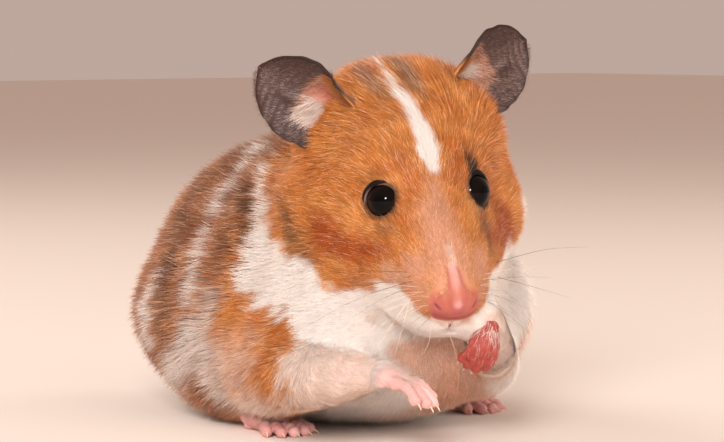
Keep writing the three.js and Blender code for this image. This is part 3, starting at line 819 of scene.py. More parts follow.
def makeEyeFinish():  # near black, with a brown iris that shows faintly round the pupil
    material, tree, surface = newFinish("eyeball", gloss(0.05, 0.12))
    veins = colourMix(tree, noiseNode(tree, 1800, 3), eyeTones["iris"], eyeTones["vein"])
    colourInto(tree, surface, colourMix(tree, channels(tree, "iris")[0], eyeTones["pupil"], veins))
    return material


def makeClawFinish():  # pale horn, a little mottled
    material, tree, surface = newFinish("clawHorn", gloss(0.35, 0.5) | scatter(0.3, 0.0008, 0.0005, 0.0003))
    colour = colourMix(tree, noiseNode(tree, 1500, 2), tone(222, 184, 164), tone(238, 212, 196))
    colourInto(tree, surface, colour)
    return material


def makeEarHairFinish():  # dark brown, or silvery where the chance is high
    material, tree, surface = newFinish("earHair", gloss(0.5, 0.4))
    silver = clamped(tree, scaled(tree, channels(tree, "strand")[1], 1.6, -0.3))
    colourInto(tree, surface, colourMix(tree, silver, tone(64, 44, 38), tone(186, 158, 150)))
    return material


def makeWhiskerFinish():  # dark or white as layer "strand" says for each whisker, a little mottled
    material, tree, surface = newFinish("whiskerHair", gloss(0.35, 0.5))
    colour = colourMix(tree, channels(tree, "strand")[1], tone(70, 44, 34), tone(248, 228, 208))
    mottled = mathNode(tree, "MULTIPLY", noiseNode(tree, 900, 2), 0.3)
    colourInto(tree, surface, colourMix(tree, mottled, colour, tone(150, 110, 90)))
    return material


finishes = {"coat": makeCoatFinish(), "skin": makeSkinFinish(), "ear": makeEarFinish(),
            "lid": makeLidFinish(), "eye": makeEyeFinish(), "claw": makeClawFinish(),
            "whisker": makeWhiskerFinish(), "earHair": makeEarHairFinish()}
print("finishes made:", len(finishes))


# The skin: a net over the body, split finer round the muzzle and then the nose.

netPoints, netQuads = surfaceNet(skinDistance, skin["low"], skin["high"], skin["step"])
netPoints = evenOut(netPoints, netQuads, skinDistance, skin["rounds"])
netTriangles = trianglesOf(netQuads)
for middle, radius in skin["finer"]:
    near = farFrom(toHead(netPoints), middle) < radius
    netPoints, netTriangles = halve(netPoints, netTriangles, near)
    moved = farFrom(toHead(netPoints), middle) < radius + 1
    netPoints[moved] = settle(netPoints[moved], skinDistance, 2)
print("skin net:", len(netTriangles), "triangles")


def bareShare(points):  # 1 on the nose and lips' edges, where no hair grows
    local = toHead(points)
    pad = np.min([lumpDistance(local, *mass) for mass in face["noseMasses"][:3]], axis=0)
    slit = np.minimum(lineDistance(local, face["philtrum"]), lineDistance(local, face["under"]) - 0.9)
    lips = np.minimum(lineDistance(local, face["mouth"]), lineDistance(local, mirrorLine(face["mouth"])))
    ridge = 0.65 * (1 - ramp(lineDistance(local, face["ridge"]), 0.8, 2.6))
    shares = [ridge, 1 - ramp(pad, 0.1, 2.2), 1 - ramp(slit, 0.3, 0.9), 1 - ramp(lips, 0.2, 0.8)]
    return np.max(shares, axis=0)


def slitShadeShare(points):  # 1 in the nostrils and the mouth, where painted shade makes the skin darker
    local = toHead(points)
    lines = [face[name] for name in ("nostril", "mouth")]
    lines += [mirrorLine(line) for line in lines]
    return 1 - ramp(np.min([lineDistance(local, line) for line in lines], axis=0), 0.15, 0.5)


# The skin's closed parts: points, triangles, which finish, share of bare skin, and numbers of layer "ear".
parts = []


def addPart(points, faces, finish, bare, layer=(0, 0, 0, 0)):  # keeps a closed surface for the skin's mesh
    triangles = trianglesOf(faces) if faces.shape[1] == 4 else faces
    parts.append((points, triangles, finish, np.broadcast_to(bare, len(points)),
                  np.broadcast_to(layer, (len(points), 4))))


def flushAndShadeShare(points):  # how red and dark the bare skin is: 0.3 of its own flush everywhere, more as painted shade beside the bridge, and most as a painted shadow below the pad
    local = toHead(points)
    under = 1 - ramp(lineDistance(local, face["under"]), 0.8, 1.9)
    side = ramp(np.abs(local[:, 0]), 0.9, 1.8) * ramp(local[:, 2], -9.5, -7.5)
    return np.clip(0.30 + 0.30 * side + 0.45 * under, 0, 1)


def layerOf(*shares):  # up to four shares side by side, and 0 for those that are left out
    layer = np.zeros((len(shares[0]), 4))
    for k, share in enumerate(shares):
        layer[:, k] = share
    return layer


# A painted highlight: a pale stripe on the bare skin along the nose's ridge.
ridgeHighlight = 0.7 * (1 - ramp(lineDistance(toHead(netPoints), face["ridge"]), 0.4, 1.2))
addPart(netPoints, netTriangles, 0, bareShare(netPoints),
        layerOf(flushAndShadeShare(netPoints), slitShadeShare(netPoints), ridgeHighlight))

# Eyelids: a rolled ring of skin round each eyeball, with a small corner towards the nose.

lids = {
    "gaze": (0.60, -0.69, 0.41),  # the left eye's, in the head's frame
    "radius": 3.06,  # of the opening
    "tall": 0.32,  # how much taller it is
    "corner": (0.45, 22),  # how far the inner corner reaches out, and how narrow it is, in degrees
    "columns": 72,
    "foot": (4.75, 1.6),  # where it meets the skin: away from the gaze axis, and the height to search from
    "puckers": 0.05,
    "wetHighlight": (-0.8, -0.7, 0.5),  # the painted highlight on the wet edge: weights for height and for the nose's side, and its fade
    # Rows round the ring: distance from the opening's edge (or from the gaze axis), share of the way from
    # the edge's height to the skin's, lift over that, how much it puckers, and how strongly the painted
    # highlight of the wet edge shows on the lower and outer side.
    "rows": [
        (True, -0.12, 0, -0.12, 0, 0), (True, -0.02, 0, 0.10, 0, 0.3), (True, 0.06, 0, 0.26, 0, 1),
        (True, 0.20, 0, 0.38, 0, 0.6), (True, 0.42, 0.15, 0.255, 0.10, 0), (True, 0.75, 0.4, 0.18, 0.10, 0),
        (True, 1.15, 0.75, 0.155, 0, 0), (False, 4.6, 1, -0.02, 0, 0), (False, 4.9, 1, -0.4, 0, 0),
        (False, 4.3, 1, -0.9, 0, 0), (True, 0.3, 0, -0.9, 0, 0),
    ],
}


def eyeFrame(index):  # gaze, and the two ways across it: towards the nose, and up
    side = (-1, 1)[index]
    gaze = unit(headWay(np.array(lids["gaze"]) * [side, 1, 1]))
    toNose = nosePoint - ownEyes[index]
    across = unit(toNose - gaze * (toNose @ gaze))
    return gaze, across, np.cross(gaze, across)


def lidRing(index):
    # A closed ring of rows round the gaze axis: centre + out distance + gaze height. The opening's edge
    # lies on the ball, sqrt(ball^2 - opening^2) high, and the last rows lie under the skin.
    gaze, across, other = eyeFrame(index)
    centre, ball = ownEyes[index], body["eyeRadius"]
    angle = np.linspace(0, 2 * np.pi, lids["columns"], endpoint=False)
    out = np.cos(angle)[:, None] * across + np.sin(angle)[:, None] * other
    reach, narrow = lids["corner"]
    turnedAway = np.degrees(np.minimum(angle, 2 * np.pi - angle))
    opening = lids["radius"] + lids["tall"] * np.sin(angle) ** 2
    opening = opening + reach * np.exp(-((turnedAway / narrow) ** 2))
    opening = np.minimum(opening, ball - 0.06)
    edge = np.sqrt(ball**2 - opening**2)
    foot = centre + out * lids["foot"][0] + gaze * lids["foot"][1]
    for _ in range(4):
        foot = foot - gaze * skinDistance(foot)[:, None]
    merged = (foot - centre) @ gaze
    puckered = 1 + lids["puckers"] * np.sin(angle * 17 + 1.3 * np.sin(angle * 3))
    # A painted highlight on the wet edge, on the lower and outer side.
    high, side, fade = lids["wetHighlight"]
    wetHighlight = ramp(high * out[:, 2] + side * np.cos(angle), 0, fade)
    points, pale = [], []
    for follows, distance, share, lift, pucker, own in lids["rows"]:
        away, height = follows * opening + distance, mix(edge, merged, share) + lift + pucker * puckered
        points.append(centre + out * away[:, None] + gaze * height[:, None])
        pale.append(own * wetHighlight)
    faces = gridFaces(len(points), lids["columns"], closeRows=True)
    return np.vstack(points), faces, layerOf(np.hstack(pale))


def outwards(points, faces):
    # Turns all faces over if the volume they enclose, sum of (a x b) . c / 6, is negative.
    points = points - points.mean(0)
    p = points[faces[:, :3]]
    more = points[faces[:, [0, 2, 3]]] if faces.shape[1] == 4 else p[:0]
    volume = sum((np.cross(q[:, 0], q[:, 1]) * q[:, 2]).sum() for q in (p, more))
    return faces if volume > 0 else faces[:, ::-1]


for index in (0, 1):
    points, faces, layer = lidRing(index)
    addPart(points, outwards(points, faces), 3, 1.0, layer)

# Ears: an upright cupped sheet each, thinner towards the rim, with a rolled edge and fine folds.

ears = {
    "height": 16.8, "halfWidth": 7.8, "widest": 0.5, "thick": 0.85, "rim": 0.34, "sunk": 1.2,
    "rootArc": 62, "tipArc": 32, "cup": 2.2, "rows": 56, "columns": 44,
    "swell": 0.72,  # width at the root as a share of the widest
    "flatCup": 1.5,  # the cup's depth at the root and the tip
    "drop": (0.8, 1.2),  # how far the edges lie below the middle, everywhere and more at the root
    "wobble": (0.012, 0.010),  # how uneven the outline is
    "shelf": (0.9, 0.14, 0.15, 0.5),  # the fold inside: height, width, middle across, and its slant
    # the hollow of the ear's opening: depth, middle and width across, middle and width along
    "pit": (1.2, 0.45, 0.3, 0.2, 0.16),
    "narrower": 0.22,  # at the front of the root
    "folds": 0.012,
    "roll": 0.2,  # the rim rolls a little forwards
    # patches of pink and pale: middle and size along and across, and the fade in sizes
    "pink": ((0.10, 0.20), (0.38, 0.72), (0.45, 1.15)),
    "pale": ((0.24, -0.03), (0.14, 0.24), (0.4, 1.2)),
    "shares": {1: (1, 0.7, 1), -1: (0.55, 0.14, 0.3)},  # how strong pink, pale and pit are, by the upper edge
    # right and left: which edge is the upper one, the root, the way it rises and the way it looks
    "sides": [(1, (-14.9, 16.9, 7.6), (-0.77, 0.45, 0.45), (-0.38, -0.89, 0.24)),
              (-1, (12.6, 18.9, 10.4), (0.85, 0.45, 0.26), (0.36, -0.87, 0.34))],
}


def earSurface(across, along, outer, upper, root, rise, look):
    # One face of an ear: a strip whose cross-section is an arc of width / sin(half angle), with across from
    # -1 to 1 and along from 0 to 1. outer is 1 on the back face and 0 on the front, and upper is the sign
    # of across at the ear's upper edge. Also gives the way that the ear faces.
    t, s, high = along, across, upper * across
    deep, middle, wide, level, tall = ears["pit"]
    fold, thin, offset, slant = ears["shelf"]
    shelf = fold * np.exp(-(((high - offset + slant * t) / thin) ** 2))
    shelf = shelf * ramp(t, 0.1, 0.25) * (1 - ramp(t, 0.45, 0.7))
    pit = deep * np.exp(-(((high - middle) / wide) ** 2) - ((t - level) / tall) ** 2)
    beyond = np.maximum(0, (t - ears["widest"]) / (1 - ears["widest"]))
    swell = mix(ears["swell"], 1, np.sin(np.pi / 2 * np.minimum(1, t / ears["widest"])))
    width = np.maximum(0.25, ears["halfWidth"] * swell * np.sqrt(np.maximum(0, 1 - beyond**1.6)))
    width = width * (1 + ears["wobble"][0] * np.sin(t * 19 + s) + ears["wobble"][1] * np.sin(t * 37))
    width = width * (1 - ears["narrower"] * ramp(high, 0, 1) * (1 - ramp(t, 0.2, 0.55)))
    halfArc = np.radians(mix(ears["rootArc"], ears["tipArc"], t**0.7))
    radius = width / np.sin(halfArc)
    edge = np.maximum(s**6, t**14)
    outerRadius = radius + outer * mix(ears["thick"], ears["rim"], np.maximum(s**4, t**6))
    cup = ears["flatCup"] + ears["cup"] * t * (1 - t)
    folds = ears["folds"] * np.sin(t * 78 + 3 * s + 1.5 * np.sin(s * 5)) * (1 - edge) * np.minimum(1, 4 * t)
    folds = folds + (shelf - pit) * (1 - outer * 0.7) * (1 - edge) + ears["roll"] * edge * (1 - outer)
    up, front = unit(headWay(rise)), headWay(look)
    front = unit(front - up * (front @ up))
    side = np.cross(up, front)
    even, more = ears["drop"]
    height = ears["height"] * t - ears["sunk"] - (even + more * (1 - t) ** 2) * s**2
    sideways = outerRadius * np.sin(s * halfArc)
    forwards = radius - outerRadius * np.cos(s * halfArc) - cup + folds
    steps = [way * step[..., None] for way, step in ((up, height), (side, sideways), (front, forwards))]
    return fromHead(root) + sum(steps), front


def spot(along, across, middle, size, fade):  # 1 in an oval and 0 outside: 1 - ramp(distance in sizes)
    return 1 - ramp(np.hypot((along - middle[0]) / size[0], (across - middle[1]) / size[1]), *fade)


def earShares(t, s, inside, upper):
    # Pink inside near the root, pale on the shelf, dark on the rim and red in the pit, deepened there as
    # painted shade in the hollow; and the share of bare skin, which ends at the front of the root, where the
    # edge is furry.
    high, (pinkness, paleness, depth) = upper * s, ears["shares"][upper]
    pink = pinkness * inside * spot(t, high, *ears["pink"])
    pale = paleness * inside * spot(t, high, *ears["pale"])
    rim = np.maximum(ramp(np.abs(s), 0.86, 1.0), ramp(t, 0.93, 1.0))
    pit = depth * inside * np.exp(-(((high - 0.5) / 0.28) ** 2) - ((t - 0.12) / 0.12) ** 2)
    return layerOf(pink, pale, rim, pit), 1 - ramp(high, 0.86, 0.98) * (1 - ramp(t, 0.08, 0.24))


def makeEar(side):
    # Both faces side by side as one closed ring of columns, with closer rows and columns towards the edges:
    # sin of even steps. A pole closes the root and the tip.
    t = np.sin(np.pi / 2 * np.linspace(0, 1, ears["rows"]))
    s = np.sin(np.pi / 2 * np.linspace(-1, 1, ears["columns"]))
    along, across = np.meshgrid(t, s, indexing="ij")
    both = ((across, 0), (across[:, ::-1], 1))
    ring = np.concatenate([earSurface(row, along, outer, *side)[0] for row, outer in both], 1)
    faces = tubeFaces(ears["rows"], 2 * ears["columns"])
    points = np.vstack([ring.reshape(-1, 3), ring[0].mean(0), ring[-1].mean(0)])
    across = np.concatenate([across, across[:, ::-1]], 1).ravel()
    inside = np.repeat([[1.0, 0.0]], ears["columns"], 1).repeat(ears["rows"], 0).ravel()
    layer, bare = earShares(np.repeat(t, 2 * ears["columns"]), across, inside, side[0])
    addPart(points, outwards(points, faces), 1, np.append(bare, [1, 1]), np.vstack([layer, np.zeros((2, 4))]))


for side in ears["sides"]:
    makeEar(side)
print("eyelids and ears made")

# Hands and feet: a palm with pads, and digits that bend at their joints.

hand = {"palm": 5.6, "half": (3.4, 2.0), "pitch": 1.7, "low": 0.2, "length": 6.5, "radius": 1.05, "tip": 0.84,
        "spread": (-14, -4, 5, 15), "share": (0.84, 1, 0.98, 0.8), "bulb": 0.86}
fist = {**hand, "palm": 2.9, "half": (2.6, 1.8), "pitch": 1.35, "length": 3.5, "radius": 0.84,
        "spread": (-7, -2, 2, 7)}
foot = {"palm": 11.5, "half": (3.5, 2.2), "pitch": 1.35, "low": 0.8, "length": 6.2, "radius": 1.15,
        "tip": 0.95, "spread": (-26, -11, 0, 11, 24), "share": (0.72, 0.96, 1, 0.95, 0.66), "bulb": 1.02}
paws = {  # kind, wrist, reach, back of the hand, bend in degrees, and how red and dark the skin is, which on the left hand is painted shade
    "fore_right": (hand, (-24.7, -36.9, 14.5), (0.46, -0.84, -0.3), (0.02, 0, 1), 14, 0.0),
    "fore_left": (fist, (-8.3, -48.5, 21.0), (-0.42, -0.10, -0.9), (-0.3, -0.9, 0.2), 44, 1.0),
    "hind_right": (foot, (-22, 3, 2), (-0.16, -0.98, 0), (0, 0, 1), 2, 0.15),
    "hind_left": (foot, (22, 3, 2), (0.16, -0.98, 0), (0, 0, 1), 2, 0.15),
}
pawNet = {"step": 0.27, "blend": 0.2, "margin": 2.6, "wrinkle": 0.05, "sole": 0.03}


def digitPath(paw, k, bend, count=9):
    # Stations of x, y, z and radius in the paw's own frame (across, along, upwards): a line that leans by
    # the digit's spread and drops by tan(bend) times the square of its share.
    lean = np.radians(paw["spread"][k])
    share = np.linspace(0, 1, count)
    length, n = paw["length"] * paw["share"][k], len(paw["spread"])
    x = paw["pitch"] * (k - (n - 1) / 2) + length * share * np.sin(lean)
    y = paw["palm"] - 0.6 - 0.5 * abs(lean) + length * share * np.cos(lean)
    z = 0.4 * np.sin(np.pi * share) - paw["low"] - np.tan(np.radians(bend)) * length * share**2
    swell = 0.10 * np.cos(share * 4 * np.pi) ** 2 - 0.08  # thicker at the joints
    return np.stack([x, y, z, mix(paw["radius"], paw["tip"], share) + swell], 1)


def pawFrame(name):  # the paw's kind and wrist, and its ways across, along and upwards as columns
    paw, wrist, reach, back, bend, _ = paws[name]
    along = unit(np.array(reach))
    dorsal = unit(np.array(back) - along * (np.array(back) @ along))
    return paw, np.array(wrist), np.stack([np.cross(along, dorsal), along, dorsal], 1), bend


def makePaw(name):
    # A net over the soft minimum of a palm, its pads, the digits and the wrist, with fine wrinkles.
    paw, wrist, ways, bend = pawFrame(name)
    digits = [digitPath(paw, k, bend) for k in range(len(paw["spread"]))]
    wide, thick = paw["half"]
    masses = [((0, paw["palm"] / 2, 0), (wide, paw["palm"] / 2 + 1.6, thick))]
    for path in digits:  # a pad under each tip and one under each knuckle
        masses.append((path[-1, :3] + [0, -0.25, -0.3], (0.8 * paw["bulb"], 0.95, 0.7)))
        masses.append((path[1, :3] + [0, -0.2, -0.75], (0.75, 0.9, 0.6)))
    for side in (-1, 1):  # two pads at the heel of the palm
        masses.append(((side * wide * 0.5, paw["palm"] * 0.3, -thick * 0.72), (1.15, 1.5, 0.8)))
    chains = digits + [np.array([(0, -1.0, 0.1, 1.7), (0, paw["palm"] * 0.4, 0, thick)])]

    def level(points):  # 0 on the paw's surface, which stays above the floor
        distances = [lumpDistance(points, *mass) for mass in masses]
        distances += [limbDistance(points, chain) for chain in chains]
        away = softMin(distances, pawNet["blend"]) + pawNet["wrinkle"] * ripple(points, 1.6, 21)[0]
        return np.maximum(away, pawNet["sole"] - (wrist + points @ ways.T)[:, 2]) if paw is foot else away

    ends = np.vstack([chain[:, :3] for chain in chains])
    low, high = ends.min(0) - pawNet["margin"], ends.max(0) + pawNet["margin"]
    low[0], high[0] = min(low[0], -wide - 1), max(high[0], wide + 1)
    points, quads = surfaceNet(level, low, high, pawNet["step"])
    return evenOut(points, quads, level, 2), quads, digits


claws = {"length": 1.25, "radius": 0.21, "rows": 9, "columns": 12, "inside": 0.5, "hook": 0.3}


def sweep(paths, radii, columns):
    # Tubes along many paths at once: each ring is path + radius (cos first + sin second), with first and
    # second square to the path, and a pole closes each end. paths are (tube, station, 3) and radii (tube,
    # station).
    tubes, rows, _ = paths.shape
    ways = unit(np.gradient(paths, axis=1))
    first = unit(np.cross(ways, np.array([0.31, 0.17, 0.93])))
    second = np.cross(ways, first)
    angle = np.linspace(0, 2 * np.pi, columns, endpoint=False)
    outward = np.cos(angle)[:, None] * first[:, :, None] + np.sin(angle)[:, None] * second[:, :, None]
    points = paths[:, :, None] + radii[:, :, None, None] * outward
    points = np.concatenate([points.reshape(tubes, -1, 3), paths[:, :1], paths[:, -1:]], 1)
    faces = tubeFaces(rows, columns)[None] + (np.arange(tubes) * points.shape[1])[:, None, None]
    points = points.reshape(-1, 3)
    return points, outwards(points, faces.reshape(-1, 3))


def clawPath(path, count):  # out of the digit's tip, dropping by hook times the square of the share
    point = unit(path[-1, :3] - path[-3, :3])
    share = np.linspace(0, 1, count)[:, None]
    start = path[-1, :3] + point * (path[-1, 3] - claws["inside"]) + [0, 0, 0.15]
    return start + point * share * (claws["length"] + claws["inside"]) - [0, 0, claws["hook"]] * share**2


clawPaths, pawNets = [], {}
for name, (kind, *_, flushAndShade) in paws.items():
    points, quads, digits = makePaw(name)
    _, wrist, ways, _ = pawFrame(name)
    placed = wrist + points @ ways.T
    if kind is foot:
        placed[:, 2] = np.maximum(placed[:, 2], floorGap)
    quads = outwards(placed, quads)
    # The left hand's skin is red and dark as painted shade and the others are paler; all are redder towards
    # one side of the digits.
    red = flushAndShade + 0.25 * ramp(points[:, 0], 0.6, 1.6) * ramp(points[:, 1], 3, 5)
    addPart(placed, quads, 2, 1.0, layerOf(np.clip(red, 0, 1), 0, 0.85 - 0.8 * flushAndShade))
    pawNets[name] = (placed, trianglesOf(quads), points, ways)
    clawPaths += [wrist + clawPath(path, claws["rows"]) @ ways.T for path in digits]
clawRadius = claws["radius"] * np.sqrt(np.maximum(0.004, 1 - np.linspace(0, 1, claws["rows"]) ** 1.5))
print("paws made")

# The tail: a short bare stub.

tail = {"stations": [(0, 43, 13, 2.9), (0, 53, 11, 1.7), (0.5, 57.4, 9.5, 1.0)], "tip": 0.7,
        "rows": 14, "columns": 24}
tailPath = smoothPath(tail["stations"], tail["rows"])
tailPath[-1, 3] = tail["tip"]
addPart(*sweep(tailPath[None, :, :3], tailPath[None, :, 3], tail["columns"]), 2, 0.8)


def makeSkin():  # all parts in one mesh, each with its own finish
    points, faces, finish, bare, layer = zip(*parts)
    sizes = [len(p) for p in points]
    faces = [f + first for f, first in zip(faces, np.cumsum([0] + sizes))]
    points = np.vstack(points)
    mesh = makeMesh("skin", points, np.vstack(faces))
    nodes = ["head", "neck", "trunk", "tail", "nose", "ear_right", "ear_left"]
    limbs = ("foreleg", "hindleg", "forefoot", "hindfoot")
    nodes += [f"{limb}_{side}" for limb in limbs for side in ("right", "left")]
    addPiece("skin", mesh, [finishes[name] for name in ("skin", "ear", "skin", "lid")], nodes)
    mesh.polygons.foreach_set("material_index", np.repeat(finish, [len(f) for f in faces]).astype(np.int32))
    seen = points + unit(slopeOf(fleshDistance, points, coat["slopeGap"])) * coatDepth(points)[:, None]
    count = len(points)
    addMarks(mesh, marksAt(seen), np.full(count, 0.45), np.full(count, 0.5), np.concatenate(bare))
    addColours(mesh, "ear", np.vstack(layer))
    print("skin:", len(mesh.polygons), "triangles")


makeSkin()

# Eyeballs: a ball with the clear front part standing a little proud, and a faint iris.

eyeballs = {"rows": 48, "columns": 64, "bulge": 0.03, "spread": 0.6, "iris": (0.30, 0.62)}


def makeEyeball(index, side):
    # Radius (1 + bulge exp(-(angle from the gaze / spread)^2)), in rings round the gaze and two poles.
    gaze, across, other = eyeFrame(index)
    away = np.linspace(0, np.pi, eyeballs["rows"] + 2)[1:-1]
    angle = np.linspace(0, 2 * np.pi, eyeballs["columns"], endpoint=False)
    phi, theta = np.meshgrid(away, angle, indexing="ij")
    radius = body["eyeRadius"] * (1 + eyeballs["bulge"] * np.exp(-((phi / eyeballs["spread"]) ** 2)))
    flat = np.cos(theta)[..., None] * across + np.sin(theta)[..., None] * other
    way = np.cos(phi)[..., None] * gaze + np.sin(phi)[..., None] * flat
    points = (ownEyes[index] + radius[..., None] * way).reshape(-1, 3)
    front = ownEyes[index] + gaze * body["eyeRadius"] * (1 + eyeballs["bulge"])
    points = np.vstack([points, front, ownEyes[index] - gaze * body["eyeRadius"]])
    faces = outwards(points, tubeFaces(eyeballs["rows"], eyeballs["columns"]))
    mesh = makeMesh(f"eyeball_{side}", points, faces)
    inner, outer = eyeballs["iris"]
    iris = ramp(phi.ravel(), inner, inner + 0.2) * (1 - ramp(phi.ravel(), outer + 0.2, outer + 0.5))
    layer = mesh.attributes.new("iris", "FLOAT", "POINT")
    layer.data.foreach_set("value", np.append(iris, [0, 0]).astype(np.float32))
    addPiece(f"eyeball_{side}", mesh, [finishes["eye"]], [f"eye_{side}"])


for index, side in enumerate(("right", "left")):
    makeEyeball(index, side)

clawNodes = [f"claw_{paw}_{side}_{k + 1}" for paw, count in (("fore", 4), ("hind", 5))
             for side in ("right", "left") for k in range(count)]
points, faces = sweep(np.array(clawPaths), np.tile(clawRadius, (len(clawPaths), 1)), claws["columns"])
addPiece("claws", makeMesh("claws", points, faces), [finishes["claw"]], clawNodes)
print("eyes and claws made")

# The coat: closed three-sided tufts, rooted just under the skin, pointed, and lying along the body.

tuft = {
    "pieces": ["coat_muzzle", "coat_face", "coat_cheeks", "coat_neck", "coat_shoulders", "coat_chest",
               "coat_back", "coat_rump"],
    "each": 46000,  # tufts in a piece
    "sunk": 0.12,  # how far a root lies under the skin
    "thick": 0.5,  # its thickness at the root over its width
    "patch": 0.003,  # its place on the unwrap
    "stray": 11,  # degrees each strays from its neighbours
    "swirl": 13,  # degrees that neighbours stray together
    "spare": 1.12,  # roots drawn for each one wanted, because some fall on bare skin
    "lengths": (0.7, 1.25),  # each tuft's length and width, as shares of the coat's there
    "widths": (0.7, 1.3),
    "rise": (0.92, 0.22, 0.2, 1.5),  # how far tips rise to the coat's outside: mean, spread, least and most
    "colourAt": 0.6,  # share of its length at which a tuft takes its colour
    "clump": 0.42,  # how far tips lean together into locks
    "locks": (2.6, 1.3),  # how wide the locks are, and the finer ones inside them
    # no tuft nearer the gaze axis than this, and how much further towards the nose
    "eyeOpening": (3.45, 0.55),
}
lie = {
    "overHead": ((0, 0.3, 0.4), 0.25, (0, 8)),  # way in the head's frame, its share, and the heights there
    "low": (12, 34),  # heights on the body over which the flank's hair turns down
    "back": (0.05, -0.12, -0.55),  # outwards, down, and further down where it is low
    "chest": (0.15, 0.25),  # outwards and backwards
    "chestFrom": ((-30, -14), (32, 46)),  # along y and in height
    "headTo": (20, 40),  # distances from the nose
    "arm": ((0, 0.45, -0.75), -0.55, (-0.5, 3.5), (0.45, 0.75)),  # upper way, drop, distances, shares along
}


def lieOf(points, normals):
    # Which way the coat lies: away from the nose on the head; backwards and down on the body; down the
    # arms. Each is blended into the last by its share, and what points out of the surface is taken away at
    # the end.
    local = toHead(points)
    rise, some, heights = lie["overHead"]
    radial = unit(unit(points - nosePoint) + some * headWay(rise) * ramp(local[:, 2:3], *heights))
    low, out, ones = 1 - ramp(points[:, 2], *lie["low"]), np.sign(points[:, 0]), np.ones(len(points))
    outwardBack, down, further = lie["back"]
    back = np.stack([outwardBack * out, ones, down + further * low], 1)
    chest = np.stack([lie["chest"][0] * out, lie["chest"][1] * ones, -ones], 1)
    ahead, under = lie["chestFrom"]
    front = (1 - ramp(points[:, 1], *ahead)) * (1 - ramp(points[:, 2], *under))
    trunkWay = unit(mix(unit(back), unit(chest), front[:, None]))
    way = unit(mix(radial, trunkWay, ramp(farFrom(points, nosePoint), *lie["headTo"])[:, None]))
    upperArm, drop, distances, shares = lie["arm"]
    for path in armPaths.values():
        away, share = nearestOn(points, path)
        near, lower = 1 - ramp(away, *distances), ramp(share, *shares)
        alongArm = unit(path[-1, :3] - path[-4, :3]) + np.array([0, 0, drop])
        armWay = unit(mix(np.array(upperArm), alongArm, lower[:, None]))
        way = unit(mix(way, armWay, (near * np.maximum(lower, 0.6))[:, None]))
    flat = way - normals * (way * normals).sum(1)[:, None]
    # Where the way points straight out or in, it falls back to straight down.
    weak = np.linalg.norm(flat, axis=1) < 0.15
    down = np.array([0, 0.4, -1.0])
    flat[weak] += 0.5 * (down - normals[weak] * (normals[weak] @ down)[:, None])
    return unit(flat)


def turned(ways, normals, degrees):  # ways turned about the normals: way cos + (normal x way) sin
    a = np.radians(degrees)[:, None]
    return unit(ways * np.cos(a) + np.cross(normals, ways) * np.sin(a))


def rootsOn(points, triangles, weight, count):
    # Random places on the triangles, as often as their weight says.
    chosen = rng.choice(len(triangles), count, p=weight / weight.sum())
    a, b = np.sqrt(rng.random(count)), rng.random(count)
    share = np.stack([1 - a, a * (1 - b), a * b], 1)
    return (points[triangles[chosen]] * share[..., None]).sum(1)


def skipped(points):  # places without coat: the eyes' openings, the nose, the mouth and the hands
    bare = bareShare(points) > rng.uniform(0.4, 1.0, len(points))
    opening, more = tuft["eyeOpening"]
    for index in (0, 1):
        gaze, across, _ = eyeFrame(index)
        offset = points - ownEyes[index]
        high = offset @ gaze
        beside = np.linalg.norm(offset - high[:, None] * gaze, axis=1)
        nearNose = ramp((offset @ across) / np.maximum(beside, 1e-6), 0.2, 0.8)
        bare |= (beside < opening + more * nearNose) & (high > 0) & (high < 6)
    for name in paws:
        paw, wrist, ways, _ = pawFrame(name)
        if paw is not foot:
            local = (points - wrist) @ ways
            bare |= (local[:, 1] > 1.0) & (np.linalg.norm(local, axis=1) < 7)
    return bare


def strandMesh(name, start, end, normal, across, width, marks, chance, unwrap):
    # Four points to a strand: right, top and left of its root, and its tip, joined by three sides and a
    # base. The split normals are n and n with 0.7 across added or taken away, so that a strand is lit as a
    # round one.
    count, half = len(start), across * (width * 0.5)[:, None]
    top = start + normal * (width * tuft["thick"])[:, None]
    points = np.stack([start + half, top, start - half, end], 1)
    points[..., 2] = np.maximum(points[..., 2], floorGap)
    shape = np.array([(1, 0, 3), (2, 1, 3), (0, 2, 3), (0, 1, 2)])
    faces = (shape[None] + 4 * np.arange(count)[:, None, None]).reshape(-1, 3)
    mesh = makeMesh(name, points.reshape(-1, 3), faces)
    normals = np.stack([unit(normal + 0.7 * across), normal, unit(normal - 0.7 * across), normal], 1)
    mesh.normals_split_custom_set_from_vertices(normals.reshape(-1, 3))
    along = np.tile([0, 0, 0, 1], count)
    addMarks(mesh, np.repeat(marks, 4, axis=0), along, np.repeat(chance, 4), 0 * along)
    corner = np.array([(0, 0), (0.1, 0.5), (0, 1), (1, 0.5)]) * tuft["patch"]
    place = (unwrap[:, None] + corner[None]).reshape(-1, 2)
    layer = mesh.uv_layers.new(name="OFBake")
    layer.data.foreach_set("uv", place[faces.ravel()].astype(np.float32).ravel())
    return mesh


bodyAxis = smoothPath([(-13, -56, 36), (-11, -38, 42), (-6, -18, 36), (0, 10, 28), (0, 34, 20),
                       (0, 54, 14)], 40)


def unwrapped(points):  # round the body's own axis for u, angle / 2 pi + 1 / 2, and along it for v
    share = nearestOn(points, np.hstack([bodyAxis, np.zeros((len(bodyAxis), 1))]))[1]
    at = share * (len(bodyAxis) - 1)
    k = np.minimum(at.astype(int), len(bodyAxis) - 2)
    offset = points - mix(bodyAxis[k], bodyAxis[k + 1], (at - k)[:, None])
    ways = unit(bodyAxis[k + 1] - bodyAxis[k])
    side = unit(np.cross(ways, [0, 0, 1.0]))
    up = np.cross(side, ways)
    angle = np.arctan2((offset * side).sum(1), -(offset * up).sum(1))
    return np.stack([angle / (2 * np.pi) + 0.5, share], 1) * (1 - tuft["patch"]), share


